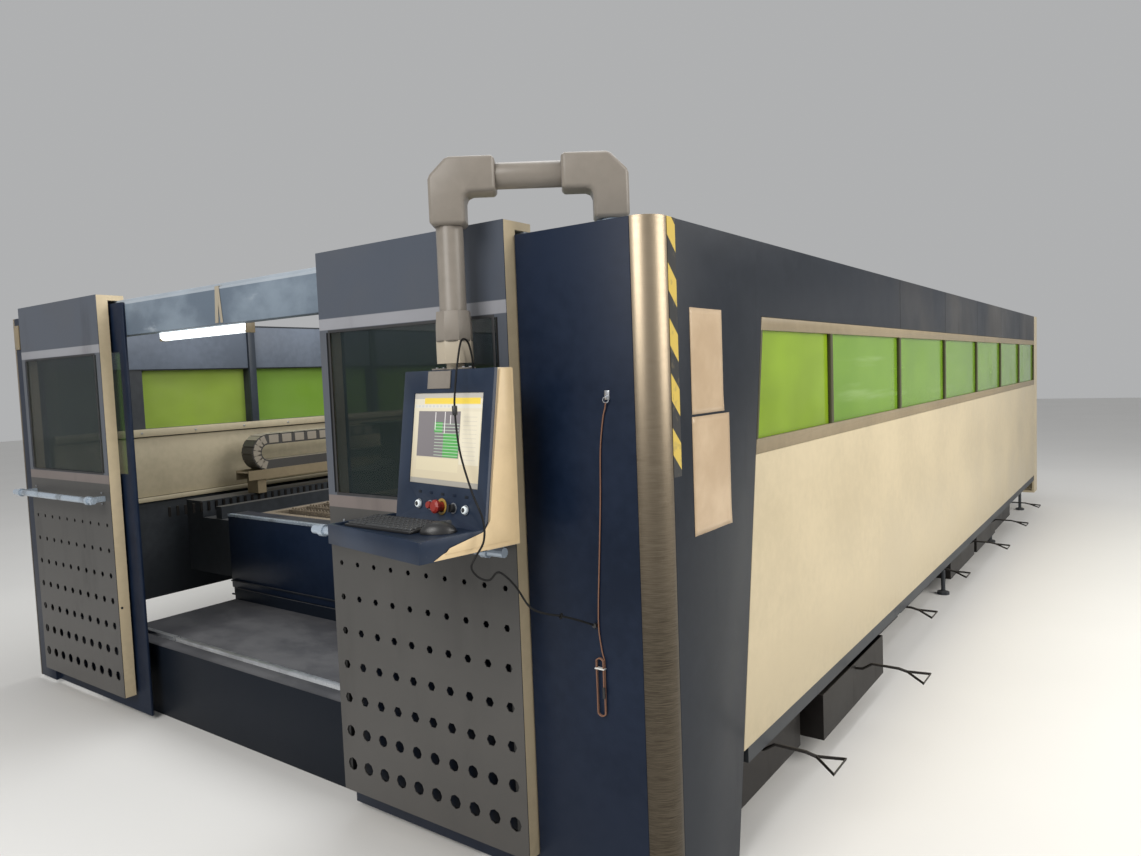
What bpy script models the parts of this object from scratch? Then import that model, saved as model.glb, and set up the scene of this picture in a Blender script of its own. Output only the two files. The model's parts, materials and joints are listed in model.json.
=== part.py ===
"""Enclosed fiber laser cutting machine for large sheets, with its operator console on a swivel arm.

Metres, +Z up. Across the machine is X, and +Y runs from the operator's end to the rear.
Every size below is written in the machine's own frame: X is 0 in the middle of the enclosure,
Y is 0 at the front panels, and Z is 0 at the floor. The finished objects are then moved so that
the scene's origin lies under the middle of the whole object's box.
"""

import math

import bmesh
import bpy
from mathutils import Matrix, Vector

for leftover in list(bpy.data.objects):
    bpy.data.objects.remove(leftover)


# Overall sizes

PALLET_WIDTH = 2.56
SIDE_SPACE = 0.77
LENGTH = 8.09
HEIGHT = 2.011
SIDE = PALLET_WIDTH / 2 + SIDE_SPACE
SEAT = 0.0003
FLOOR_CLEARANCE = 0.02

# Heights of the bands on the long sides

SKIRT_BOTTOM = 0.300
SKIRT_HEIGHT = 0.055
FASCIA_HEIGHT = 0.250
STRIP_HEIGHT = 0.044
PANE_HEIGHT = 0.362
SILL_HEIGHT = 0.049
STRIP_TOP = HEIGHT - FASCIA_HEIGHT
PANE_TOP = STRIP_TOP - STRIP_HEIGHT
SILL_TOP = PANE_TOP - PANE_HEIGHT
SILL_BOTTOM = SILL_TOP - SILL_HEIGHT

# Side cladding

CLAD_DEPTH = 0.021
PANE_THICKNESS = 0.006
COLUMN_RADIUS = 0.073
COLUMN_WALL = 0.004
CLAD_REAR = 7.87
SLANT_TOP_Y = 0.712
SLANT = 0.16
MULLION_WIDTH = 0.026
MULLION_PITCH = 1.074
PANE_COUNT = 7
POST_DEPTH = 0.060
POST_WIDTH = 0.050

# Front wall and opening

LEFT_STRIP = 0.2547
RIGHT_STRIP = 0.4747
LEFT_JAMB = 0.111
RIGHT_JAMB = 0.027
LEAF_WIDTH = 0.865
LEAF_FRONT_Y = -0.0455
LEAF_DEPTH = 0.055
LEAF_BOTTOM = 0.109
LEAF_RISE = 0.041
LEAF_TOP = HEIGHT + LEAF_RISE
FRONT_SHEET = 0.012
RECESS_Y = 0.022
BEAM_DEPTH = 0.060
BEAM_HEIGHT = 0.155
BEAM_BOTTOM = HEIGHT - BEAM_HEIGHT
LAMP_OFFSET = 0.182
LAMP_LENGTH = 0.683

# Door leaves

LEAF_SKIN = 0.003
LEAF_STILE = 0.045
LEAF_HEADER = 0.271
LEAF_WINDOW_HEIGHT = 0.585
LEAF_WINDOW_TOP = LEAF_TOP - LEAF_HEADER
LEAF_WINDOW_BOTTOM = LEAF_WINDOW_TOP - LEAF_WINDOW_HEIGHT
LEAF_RAIL = 0.060
HANDLE_DROP = 0.113
HANDLE_Z = LEAF_WINDOW_BOTTOM - HANDLE_DROP
HOLE_ROWS = 7
HOLE_COLUMNS = 10
HOLE_MARGIN = 0.050
HOLE_RISE = 0.103
HOLE_DROP = 0.130
HOLE_FIRST_Z = LEAF_BOTTOM + HOLE_RISE
HOLE_PITCH_X = (LEAF_WIDTH - 2 * HOLE_MARGIN) / (HOLE_COLUMNS - 1)
HOLE_PITCH_Z = (HANDLE_Z - HOLE_DROP - HOLE_FIRST_Z) / (HOLE_ROWS - 1)
HOLE_BIG = 0.048
HOLE_SMALL = 0.020
HOLE_SIDES = 8
HOLE_SIDES_SMALL = 6
HOLE_ROUND_ABOVE = 0.040
HANDLE_RADIUS = 0.015
HANDLE_STANDOFF = 0.0725
TRACK_HEIGHT = 0.016

# Bed

PALLET_SIDE_GAP = 0.08
BEAM_WIDTH = 0.48
BEAM_INNER_X = PALLET_WIDTH / 2 + PALLET_SIDE_GAP
BEAM_OUTER_X = BEAM_INNER_X + BEAM_WIDTH
BED_BEAM_BOTTOM = 0.46
BED_BEAM_TOP = 0.80
BED_FRONT_Y = 0.83
BED_REAR_Y = 7.80
BED_WALL = 0.10
CROSS_BOTTOM = 0.36
RAIL_OFFSET = 0.14
RAIL_X = BEAM_INNER_X + RAIL_OFFSET
RAIL_WIDTH = 0.06
RAIL_HEIGHT = 0.075
RAIL_COVER_OFFSET = 0.16
RAIL_COVER_INNER_X = RAIL_X + RAIL_COVER_OFFSET
RAIL_COVER_TOP = 0.90
FOOT_OFFSET = 0.09
FOOT_X = BEAM_OUTER_X + FOOT_OFFSET
FOOT_STUD_RADIUS = 0.014
FOOT_PAD_RADIUS = 0.040
FOOT_PAD_HEIGHT = 0.018

# Scrap drawers

DRAWER_COUNT = 7
DRAWER_PITCH = 0.946
DRAWER_FIRST_Y = 0.729
DRAWER_GAP = 0.086
DRAWER_REAR_INSET = 0.01
DRAWER_FRONT_INSET = 0.18
DRAWER_INNER_X = DRAWER_REAR_INSET - PALLET_WIDTH / 2
DRAWER_FRONT_X = SIDE - DRAWER_FRONT_INSET
DRAWER_BOTTOM = 0.0953
DRAWER_TOP = 0.280
DRAWER_SHEET = 0.004
DRAWER_FIRST_EDGE_Y = 0.52
DRAWER_PULLED = (0.115, 0.180, 0.010, 0.006, 0.100, 0.104, 0.090)
RUNNER_WEB = 0.010
RUNNER_FLANGE = 0.120
RUNNER_THICKNESS = 0.010
PULL_RADIUS = 0.006
PULL_Z = 0.2855
PULL_SLOPE = 0.20
PULL_STEM = 0.035
PULL_LOOP_LENGTH = 0.080
PULL_LOOP_WIDTH = 0.125

# Pallet

PALLET_LENGTH = 6.30
PALLET_FRONT_Y = 0.97
PALLET_BOTTOM = 0.70
PALLET_HEIGHT = 0.13
PALLET_RAIL = 0.06
SLAT_COUNT = 48
SLAT_WIDTH = 0.022
SLAT_BOTTOM = 0.045
LEDGE_LAP = 0.08
LEDGE_INNER_X = PALLET_WIDTH / 2 - LEDGE_LAP
LEDGE_THICKNESS = 0.012

# Front cover of the bed and the step before it

COVER_Y = 0.80
COVER_GAP = 0.02
COVER_HALF_WIDTH = BEAM_INNER_X - COVER_GAP
COVER_BOTTOM = 0.41
COVER_TOP = 0.846
COVER_SHEET = 0.010
STEP_Y = 0.09
STEP_TOP = 0.346
STEP_GAP = 0.06
STEP_HALF_WIDTH = BEAM_INNER_X - STEP_GAP
STEP_SHEET = 0.010

# Gantry, head and energy chain

GANTRY_Y = 2.35
TRUCK_HALF_LENGTH = 0.35
TRUCK_WIDTH = 0.15
TRUCK_TOP = 1.02
GANTRY_DEPTH = 0.26
GANTRY_TOP = 1.285
GANTRY_OVERHANG = 0.10
GANTRY_HALF_LENGTH = RAIL_X + GANTRY_OVERHANG
CHAIN_INSET = 0.16
CHAIN_X = CHAIN_INSET - BEAM_OUTER_X
CHAIN_WIDTH = 0.12
CHAIN_HEIGHT = 0.07
CHAIN_RADIUS = 0.085
CHAIN_BEND_Y = 1.285
CHAIN_BEND_Z = 1.160
CHAIN_FIXED_Y = 4.30
CHAIN_LINK = 0.10
CHAIN_NOTCH = 0.012
CHAIN_NOTCH_DEPTH = 0.010
TRAY_FLOOR = 0.004

# Rear wall and pallet mouth

REAR_BOTTOM = 0.17
REAR_SHEET = 0.02
MOUTH_GAP = 0.05
MOUTH_HALF_WIDTH = PALLET_WIDTH / 2 + MOUTH_GAP
MOUTH_BOTTOM = 0.62
MOUTH_TOP = 1.10

# Support arm

POST_INSET = 0.2145
POST_X = SIDE - POST_INSET
POST_Y = 0.1365
ARM_REACH = 0.4716
DROP_STANDOFF = 0.0952
DROP_Y = LEAF_FRONT_Y - DROP_STANDOFF
ARM_BEARING = math.pi + math.asin((POST_Y - DROP_Y) / ARM_REACH)
ARM_RISE = 0.162
ARM_Z = HEIGHT + ARM_RISE
ARM_TUBE_RADIUS = 0.038
ELBOW_WIDTH = 0.102
ELBOW_LEG = 0.090
ELBOW_BASE_Z = HEIGHT + 0.025
DROP_TUBE_RADIUS = 0.0395
DROP_LENGTH = 0.384
COUPLING_UPPER = 0.0855
COUPLING_LOWER = 0.0655
COUPLING_NECK = 0.018
COUPLING_RADIUS = 0.055
DROP_BOTTOM = ARM_Z - DROP_LENGTH
COUPLING_SPLIT = DROP_BOTTOM - COUPLING_UPPER
COUPLING_BOTTOM = COUPLING_SPLIT - COUPLING_LOWER

# Console, in a frame of its own: u to the right, v to the back, turned about the drop tube

CONSOLE_YAW = math.radians(-10.0)
CONSOLE_LEFT = -0.250
CONSOLE_RIGHT = 0.220
CONSOLE_BACK = 0.030
TRAY_FRONT = -0.305
HOUSING_HEIGHT = 0.445
TRAY_DEPTH = 0.050
HOUSING_TOP = COUPLING_BOTTOM - COUPLING_NECK
TRAY_TOP = HOUSING_TOP - HOUSING_HEIGHT
TRAY_BOTTOM = TRAY_TOP - TRAY_DEPTH
TRAY_RIM = 0.014
TRAY_RIM_HEIGHT = 0.008
HOUSING_LEFT = -0.222
HOUSING_RIGHT = 0.216
FACE_BASE_V = -0.090
FACE_TOP_V = -0.030
SCREEN_WIDTH = 0.338
SCREEN_HEIGHT = 0.270
SCREEN_U = 0.005
SCREEN_S = 0.247
SCREEN_DEPTH = 0.012
CONTROL_S = 0.052
CONTROL_PITCH = 0.057
CONTROL_FIRST_U = -0.100
BORE_CLEARANCE = 0.0006
BORE_DEPTH = 0.020
KEYBOARD_SIZE = (0.285, 0.125, 0.014)
KEYBOARD_PLACE = (-0.080, -0.190)
KEYBOARD_TURN = math.radians(8.0)
MOUSE_SIZE = (0.062, 0.104, 0.034)
MOUSE_PLACE = (0.115, -0.170)
MOUSE_TURN = math.radians(-38.0)

# Where the machine's frame lies in the scene

ORIGIN = Vector((-0.149, -3.805, 0.0))


# Materials

def paint(name, colour, roughness, metallic=0.0, alpha=1.0):
    material = bpy.data.materials.new(name)
    material.use_nodes = True
    surface = material.node_tree.nodes["Principled BSDF"]
    surface.inputs["Base Color"].default_value = (*colour, 1.0)
    surface.inputs["Roughness"].default_value = roughness
    surface.inputs["Metallic"].default_value = metallic
    surface.inputs["Alpha"].default_value = alpha
    return material


NAVY = paint("navy paint", (0.020, 0.030, 0.060), 0.45)
SLATE = paint("slate paint", (0.075, 0.075, 0.085), 0.45)
STEEL_BLUE = paint("steel blue paint", (0.10, 0.13, 0.18), 0.5)
CREAM = paint("cream paint", (0.70, 0.62, 0.48), 0.5)
DOOR_GREY = paint("door grey paint", (0.20, 0.19, 0.18), 0.5)
WINDOW_GREY = paint("window frame grey", (0.45, 0.42, 0.37), 0.5)
GREEN_PANE = paint("green pane", (0.25, 0.60, 0.05), 0.15, 0.0, 0.6)
DARK_PANE = paint("dark pane", (0.02, 0.06, 0.03), 0.1, 0.0, 0.6)
BRUSHED = paint("brushed steel", (0.45, 0.42, 0.38), 0.35, 1.0)
BARE_STEEL = paint("bare steel", (0.55, 0.55, 0.55), 0.35, 1.0)
BLACK_STEEL = paint("black steel", (0.03, 0.03, 0.03), 0.6)
BLACK_PLASTIC = paint("black plastic", (0.02, 0.02, 0.02), 0.5)
CHAIN_GREY = paint("chain plastic", (0.16, 0.15, 0.13), 0.6)
ARM_TAUPE = paint("arm paint", (0.33, 0.29, 0.24), 0.45)
COUPLING_BEIGE = paint("coupling paint", (0.50, 0.44, 0.34), 0.45)
LAMP_WHITE = paint("lamp diffuser", (0.90, 0.92, 0.92), 0.4)
SCREEN_CREAM = paint("screen", (0.80, 0.76, 0.62), 0.3)
RED = paint("red plastic", (0.60, 0.03, 0.02), 0.35)
WHITE = paint("white plastic", (0.80, 0.80, 0.78), 0.35)
COPPER = paint("copper", (0.75, 0.35, 0.20), 0.3, 1.0)


# Shapes

AXES = {
    "X": (Vector((0, 1, 0)), Vector((0, 0, 1)), Vector((1, 0, 0))),
    "Y": (Vector((1, 0, 0)), Vector((0, 0, 1)), Vector((0, 1, 0))),
    "Z": (Vector((1, 0, 0)), Vector((0, 1, 0)), Vector((0, 0, 1))),
}


def solid(bm):
    """Turn a bmesh into a loose object with its faces pointing out."""
    bmesh.ops.recalc_face_normals(bm, faces=bm.faces)
    mesh = bpy.data.meshes.new("shape")
    bm.to_mesh(mesh)
    bm.free()
    shape = bpy.data.objects.new("shape", mesh)
    bpy.context.collection.objects.link(shape)
    return shape


def prism(outline, axis, start, end):
    """Extrude a flat outline along X, Y or Z."""
    across, up, along = AXES[axis]
    bm = bmesh.new()
    ring = [bm.verts.new(across * a + up * b + along * start) for a, b in outline]
    bm.faces.new(ring)
    made = bmesh.ops.extrude_face_region(bm, geom=bm.faces[:])
    moved = [item for item in made["geom"] if isinstance(item, bmesh.types.BMVert)]
    bmesh.ops.translate(bm, vec=along * (end - start), verts=moved)
    return solid(bm)


def block(x, y, z):
    """A box between the two values of each axis."""
    return prism([(x[0], y[0]), (x[1], y[0]), (x[1], y[1]), (x[0], y[1])], "Z", z[0], z[1])


def sided(side, inner, outer):
    """The two X values of something on the right side (1) or the left side (-1)."""
    return (side * inner, side * outer)


def turned(profile, sides, matrix):
    """Revolve a half outline of (radius, height) about the Z axis of a matrix."""
    bm = bmesh.new()
    points = [bm.verts.new((radius, 0.0, height)) for radius, height in profile]
    edges = [bm.edges.new(pair) for pair in zip(points, points[1:])]
    bmesh.ops.spin(
        bm, geom=points + edges, axis=(0, 0, 1), cent=(0, 0, 0),
        steps=sides, angle=math.tau, use_merge=True,
    )
    bmesh.ops.remove_doubles(bm, verts=bm.verts, dist=0.00001)
    shape = solid(bm)
    shape.data.transform(matrix)
    return shape


def rounded(radius, low, high, sides, matrix):
    """A plain cylinder between two heights on the Z axis of a matrix."""
    return turned([(0, low), (radius, low), (radius, high), (0, high)], sides, matrix)


def upright(x, y):
    return Matrix.Translation((x, y, 0.0))


def bar(points, radius, closed=False, resolution=1):
    """A round bar that follows a path."""
    curve = bpy.data.curves.new("path", "CURVE")
    curve.dimensions = "3D"
    curve.bevel_depth = radius
    curve.bevel_resolution = resolution
    curve.use_fill_caps = True
    spline = curve.splines.new("POLY")
    spline.points.add(len(points) - 1)
    for spot, point in zip(spline.points, points):
        spot.co = (*point, 1.0)
    spline.use_cyclic_u = closed
    guide = bpy.data.objects.new("path", curve)
    bpy.context.collection.objects.link(guide)
    mesh = bpy.data.meshes.new_from_object(guide.evaluated_get(bpy.context.evaluated_depsgraph_get()))
    bpy.data.objects.remove(guide)
    shape = bpy.data.objects.new("shape", mesh)
    bpy.context.collection.objects.link(shape)
    return shape


def gathered(shapes):
    """Several shapes that stand apart, as one tool for a Boolean."""
    bm = bmesh.new()
    for shape in shapes:
        bm.from_mesh(shape.data)
        bpy.data.objects.remove(shape)
    return solid(bm)


def worked(shape, operation, tools):
    """Unite a shape with tools, or cut the tools from it."""
    for tool in tools:
        step = shape.modifiers.new("step", "BOOLEAN")
        step.operation = operation
        step.solver = "EXACT"
        step.object = tool
    graph = bpy.context.evaluated_depsgraph_get()
    mesh = bpy.data.meshes.new_from_object(shape.evaluated_get(graph))
    shape.modifiers.clear()
    shape.data = mesh
    for tool in tools:
        bpy.data.objects.remove(tool)
    return shape


def united(shape, *tools):
    return worked(shape, "UNION", list(tools))


def cut(shape, tools):
    return worked(shape, "DIFFERENCE", [gathered(tools)])


def tidied(shape, distance=0.00001):
    """Merge doubles and flat leftovers after Booleans."""
    bm = bmesh.new()
    bm.from_mesh(shape.data)
    bmesh.ops.remove_doubles(bm, verts=bm.verts, dist=distance)
    bmesh.ops.dissolve_limit(
        bm, angle_limit=math.radians(0.5), verts=bm.verts, edges=bm.edges,
    )
    bm.to_mesh(shape.data)
    bm.free()
    return shape


def bevelled(shape, width, segments=1, angle=30.0):
    bevel = shape.modifiers.new("edges", "BEVEL")
    bevel.width = width
    bevel.segments = segments
    bevel.limit_method = "ANGLE"
    bevel.angle_limit = math.radians(angle)
    graph = bpy.context.evaluated_depsgraph_get()
    mesh = bpy.data.meshes.new_from_object(shape.evaluated_get(graph))
    shape.modifiers.clear()
    shape.data = mesh
    return shape


def part(name, shape, material, pivot=(0.0, 0.0, 0.0), smooth=False):
    """Name a finished shape and put its origin on its pivot."""
    pivot = Vector(pivot)
    shape.data.transform(Matrix.Translation(-pivot))
    shape.location = pivot + ORIGIN
    shape.name = name
    shape.data.name = name
    shape.data.materials.clear()
    shape.data.materials.append(material)
    if smooth:
        shape.data.shade_smooth()
        shape.data.set_sharp_from_angle(angle=math.radians(35.0))
    return shape


# Long sides

PANEL_BOTTOM = SKIRT_BOTTOM + SKIRT_HEIGHT
PANE_FRAME_DEPTH = CLAD_DEPTH - PANE_THICKNESS - SEAT
POST_OUTER_X = SIDE - CLAD_DEPTH - SEAT
POST_INNER_X = POST_OUTER_X - POST_DEPTH
POST_FRONT_Y = RECESS_Y + FRONT_SHEET + BEAM_DEPTH + 2 * SEAT
POST_TOP = HEIGHT - SEAT
PANE_STATIONS = [CLAD_REAR - MULLION_PITCH * step for step in range(PANE_COUNT - 1, 0, -1)]


def slant_y(z):
    """Where the slanted edge of the dark end panel lies at a height."""
    return SLANT_TOP_Y - SLANT * (STRIP_TOP - z)


def end_panel(side):
    """The dark end panel, which runs on as the fascia over the windows."""
    front = COLUMN_RADIUS + SEAT
    outline = [
        (front, FLOOR_CLEARANCE),
        (slant_y(FLOOR_CLEARANCE), FLOOR_CLEARANCE),
        (slant_y(STRIP_TOP), STRIP_TOP),
        (CLAD_REAR, STRIP_TOP),
        (CLAD_REAR, HEIGHT),
        (front, HEIGHT),
    ]
    return prism(outline, "X", *sided(side, SIDE - CLAD_DEPTH, SIDE))


def lower_panel(side):
    """The cream panel under the windows."""
    low = PANEL_BOTTOM
    high = SILL_BOTTOM - SEAT
    outline = [
        (slant_y(low) + SEAT, low),
        (CLAD_REAR, low),
        (CLAD_REAR, high),
        (slant_y(high) + SEAT, high),
    ]
    return prism(outline, "X", *sided(side, SIDE - CLAD_DEPTH, SIDE))


def window_frame(side):
    """Sill, top strip and mullions round the panes, in one pressed frame."""
    low = SILL_BOTTOM
    high = STRIP_TOP - SEAT
    outline = [
        (slant_y(low) + SEAT, low),
        (CLAD_REAR, low),
        (CLAD_REAR, high),
        (slant_y(high) + SEAT, high),
    ]
    frame = prism(outline, "X", *sided(side, SIDE - PANE_FRAME_DEPTH, SIDE))
    half = MULLION_WIDTH / 2
    through = sided(side, SIDE - 2 * CLAD_DEPTH, SIDE + CLAD_DEPTH)
    starts = [None] + [station + half for station in PANE_STATIONS]
    ends = [station - half for station in PANE_STATIONS] + [CLAD_REAR - MULLION_WIDTH]
    openings = []
    for start, end in zip(starts, ends):
        low_start = start if start else slant_y(SILL_TOP) + half
        high_start = start if start else slant_y(PANE_TOP) + half
        pane = [(low_start, SILL_TOP), (end, SILL_TOP), (end, PANE_TOP), (high_start, PANE_TOP)]
        openings.append(prism(pane, "X", *through))
    return cut(frame, openings)


def window_pane(side):
    """The green laser-safe sheet behind the frame."""
    outer = SIDE - PANE_FRAME_DEPTH - SEAT
    low = SILL_BOTTOM
    high = STRIP_TOP - SEAT
    outline = [
        (slant_y(low) + SEAT, low),
        (CLAD_REAR - SEAT, low),
        (CLAD_REAR - SEAT, high),
        (slant_y(high) + SEAT, high),
    ]
    return prism(outline, "X", *sided(side, outer - PANE_THICKNESS + SEAT, outer))


def foot(x, y, stud_top):
    """A levelling foot: round pad and threaded stud."""
    profile = [
        (0, 0), (FOOT_PAD_RADIUS, 0), (FOOT_PAD_RADIUS, FOOT_PAD_HEIGHT),
        (FOOT_STUD_RADIUS, FOOT_PAD_HEIGHT * 1.4), (FOOT_STUD_RADIUS, stud_top), (0, stud_top),
    ]
    return turned(profile, 8, upright(x, y))


def wall_frame(side):
    """The welded frame behind the cladding, with its skirt rail and front levelling foot."""
    rear = CLAD_REAR - SEAT
    frame = block(sided(side, POST_INNER_X, POST_OUTER_X), (POST_FRONT_Y, rear), (SKIRT_BOTTOM, POST_TOP))
    half = POST_WIDTH / 2
    edges = [slant_y(SILL_TOP)] + PANE_STATIONS + [rear - half]
    through = sided(side, POST_INNER_X - POST_DEPTH, SIDE)
    panes = [
        block(through, (start + half, end - half), (SILL_TOP, PANE_TOP))
        for start, end in zip(edges, edges[1:])
    ]
    frame = cut(frame, panes)
    skirt = block(
        sided(side, POST_OUTER_X - half, SIDE - 0.004),
        (slant_y(SKIRT_BOTTOM) + 0.05, rear), (SKIRT_BOTTOM, PANEL_BOTTOM - SEAT),
    )
    foot_y = POST_FRONT_Y + FOOT_PAD_RADIUS + 0.12
    bracket = block(
        sided(side, FOOT_X - FOOT_PAD_RADIUS, POST_OUTER_X - half),
        (foot_y - FOOT_PAD_RADIUS, foot_y + FOOT_PAD_RADIUS), (SKIRT_BOTTOM, PANEL_BOTTOM),
    )
    return tidied(united(frame, skirt, bracket, foot(side * FOOT_X, foot_y, SKIRT_BOTTOM + 0.01)))


def corner_column(side):
    """Quarter-round brushed column at the corner of the enclosure."""
    centre_x = SIDE - COLUMN_RADIUS
    steps = 8
    arc = [math.radians(-90.0 + 90.0 * step / steps) for step in range(steps + 1)]
    outer = [(centre_x + COLUMN_RADIUS * math.cos(a), COLUMN_RADIUS + COLUMN_RADIUS * math.sin(a)) for a in arc]
    inner_radius = COLUMN_RADIUS - COLUMN_WALL
    inner = [(centre_x + inner_radius * math.cos(a), COLUMN_RADIUS + inner_radius * math.sin(a)) for a in arc]
    outline = [(side * x, y) for x, y in outer + inner[::-1]]
    return prism(outline, "Z", FLOOR_CLEARANCE, HEIGHT)


for side, word in ((1, "right"), (-1, "left")):
    part(f"{word}_wall_frame", wall_frame(side), SLATE)
    part(f"{word}_end_panel", end_panel(side), NAVY)
    part(f"{word}_lower_panel", lower_panel(side), CREAM)
    part(f"{word}_window_frame", window_frame(side), WINDOW_GREY)
    part(f"{word}_window_pane", window_pane(side), GREEN_PANE)
    part(f"{word}_corner_column", corner_column(side), BRUSHED, smooth=True)


# Front wall

RIGHT_LEAF_LEFT = SIDE - RIGHT_STRIP - LEAF_WIDTH
LEFT_LEAF_RIGHT = LEFT_STRIP + LEAF_WIDTH - SIDE
OPENING_RIGHT = RIGHT_LEAF_LEFT - RIGHT_JAMB
OPENING_LEFT = LEFT_LEAF_RIGHT + LEFT_JAMB
COLUMN_EDGE_X = SIDE - COLUMN_RADIUS - SEAT


def front_panel(side, opening_edge, leaf_outer):
    """A folded front panel: proud beside the parked leaf, set back behind it, with a window."""
    edge = side * COLUMN_EDGE_X
    step = leaf_outer + side * 0.004
    inner = step + side * FRONT_SHEET
    outline = [
        (edge, 0.0), (step, 0.0), (step, RECESS_Y), (opening_edge, RECESS_Y),
        (opening_edge, RECESS_Y + FRONT_SHEET), (inner, RECESS_Y + FRONT_SHEET),
        (inner, FRONT_SHEET), (edge, FRONT_SHEET),
    ]
    panel = prism(outline, "Z", FLOOR_CLEARANCE, HEIGHT)
    window = block(
        (opening_edge + side * LEAF_RAIL, step - side * LEAF_RAIL),
        (0.0, RECESS_Y + 2 * FRONT_SHEET), (LEAF_WINDOW_BOTTOM, LEAF_WINDOW_TOP),
    )
    return cut(panel, [window])


def front_pane(side, opening_edge, leaf_outer):
    """The pane behind the window of a front panel."""
    front = RECESS_Y + FRONT_SHEET + SEAT
    lap = LEAF_RAIL / 2
    return block(
        (opening_edge + side * lap, leaf_outer - side * lap),
        (front, front + PANE_THICKNESS), (LEAF_WINDOW_BOTTOM - lap, LEAF_WINDOW_TOP + lap),
    )


def header_beam():
    """The beam over the opening, with the door track on top and the base of the support arm."""
    front = RECESS_Y + FRONT_SHEET + SEAT
    half = SIDE - COLUMN_RADIUS
    beam = block((-half, half), (front, front + BEAM_DEPTH), (BEAM_BOTTOM, HEIGHT))
    track_y = front + BEAM_DEPTH / 2
    track = block(
        (LEFT_LEAF_RIGHT - LEAF_WIDTH, RIGHT_LEAF_LEFT + LEAF_WIDTH),
        (track_y - 0.012, track_y + 0.012), (HEIGHT - 0.01, HEIGHT + TRACK_HEIGHT),
    )
    plate = block(
        (POST_X - 0.09, POST_X + 0.09), (front + 0.01, POST_Y + 0.08), (HEIGHT - 0.008, HEIGHT + 0.008),
    )
    stub = rounded(0.045, HEIGHT - 0.004, ELBOW_BASE_Z - SEAT, 12, upright(POST_X, POST_Y))
    return tidied(united(beam, track, plate, stub))


def work_light():
    """Tube light on a batten behind the lower edge of the beam."""
    back = RECESS_Y + FRONT_SHEET + BEAM_DEPTH + 2 * SEAT
    bottom = BEAM_BOTTOM - 0.036
    outline = [
        (back, BEAM_BOTTOM + 0.012), (back, bottom + 0.012), (back + 0.008, bottom + 0.003),
        (back + 0.020, bottom), (back + 0.032, bottom + 0.003), (back + 0.040, bottom + 0.012),
        (back + 0.040, BEAM_BOTTOM + 0.012),
    ]
    start = OPENING_LEFT + LAMP_OFFSET
    return prism(outline, "X", start, start + LAMP_LENGTH)


part(
    "right_front_panel",
    front_panel(1, OPENING_RIGHT, RIGHT_LEAF_LEFT + LEAF_WIDTH), NAVY,
)
part(
    "left_front_panel",
    front_panel(-1, OPENING_LEFT, LEFT_LEAF_RIGHT - LEAF_WIDTH), NAVY,
)
part(
    "right_front_pane",
    front_pane(1, OPENING_RIGHT, RIGHT_LEAF_LEFT + LEAF_WIDTH), DARK_PANE,
)
part(
    "left_front_pane",
    front_pane(-1, OPENING_LEFT, LEFT_LEAF_RIGHT - LEAF_WIDTH), DARK_PANE,
)
part("header_beam", header_beam(), STEEL_BLUE)
part("work_light", work_light(), LAMP_WHITE)


# Sliding door leaves

def hole_diameter(row):
    """The holes shrink from the bottom row to the top row."""
    return HOLE_BIG + (HOLE_SMALL - HOLE_BIG) * row / (HOLE_ROWS - 1)


def leaf_skin(left):
    """The front sheet of a leaf: window above, seven rows of graded holes below."""
    right = left + LEAF_WIDTH
    back = LEAF_FRONT_Y + LEAF_SKIN
    skin = block((left, right), (LEAF_FRONT_Y, back), (LEAF_BOTTOM, LEAF_TOP))
    through = (LEAF_FRONT_Y - LEAF_SKIN, back + LEAF_SKIN)
    margin = LEAF_STILE - 0.010
    tools = [
        block((left + margin, right - margin), through, (LEAF_WINDOW_BOTTOM + 0.010, LEAF_WINDOW_TOP - 0.010))
    ]
    first_x = left + (LEAF_WIDTH - HOLE_PITCH_X * (HOLE_COLUMNS - 1)) / 2
    lying = Matrix.Rotation(math.radians(90.0), 4, "X")
    for row in range(HOLE_ROWS):
        z = HOLE_FIRST_Z + HOLE_PITCH_Z * row
        sides = HOLE_SIDES if hole_diameter(row) > HOLE_ROUND_ABOVE else HOLE_SIDES_SMALL
        for column in range(HOLE_COLUMNS):
            place = Matrix.Translation((first_x + HOLE_PITCH_X * column, 0.0, z)) @ lying
            tools.append(rounded(hole_diameter(row) / 2, -through[1], -through[0], sides, place))
    return cut(skin, tools)


def leaf_frame(left):
    """The cream box frame behind the skin, with a hanger that hooks over the track."""
    right = left + LEAF_WIDTH
    front = LEAF_FRONT_Y + LEAF_SKIN + SEAT
    back = LEAF_FRONT_Y + LEAF_DEPTH
    frame = block((left, right), (front, back), (LEAF_BOTTOM, LEAF_TOP))
    through = (front - LEAF_DEPTH, back + LEAF_DEPTH)
    inner = (left + LEAF_STILE, right - LEAF_STILE)
    window = block(inner, through, (LEAF_WINDOW_BOTTOM, LEAF_WINDOW_TOP))
    lower = block(inner, through, (LEAF_BOTTOM + LEAF_STILE, LEAF_WINDOW_BOTTOM - LEAF_RAIL))
    header = block(inner, through, (LEAF_WINDOW_TOP + LEAF_RAIL, LEAF_TOP - LEAF_STILE))
    frame = cut(frame, [window, lower, header])
    rail_top = HEIGHT + TRACK_HEIGHT + SEAT
    hanger_back = RECESS_Y + FRONT_SHEET + SEAT + BEAM_DEPTH / 2 + 0.020
    hanger = block((left, right), (back - 0.010, hanger_back), (rail_top, LEAF_TOP))
    return tidied(united(frame, hanger))


def leaf_window(left):
    """The dark tinted pane, seated in the frame behind the skin."""
    right = left + LEAF_WIDTH
    front = LEAF_FRONT_Y + LEAF_SKIN + SEAT
    return block(
        (left + LEAF_STILE + SEAT, right - LEAF_STILE - SEAT), (front, front + PANE_THICKNESS),
        (LEAF_WINDOW_BOTTOM + SEAT, LEAF_WINDOW_TOP - SEAT),
    )


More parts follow.
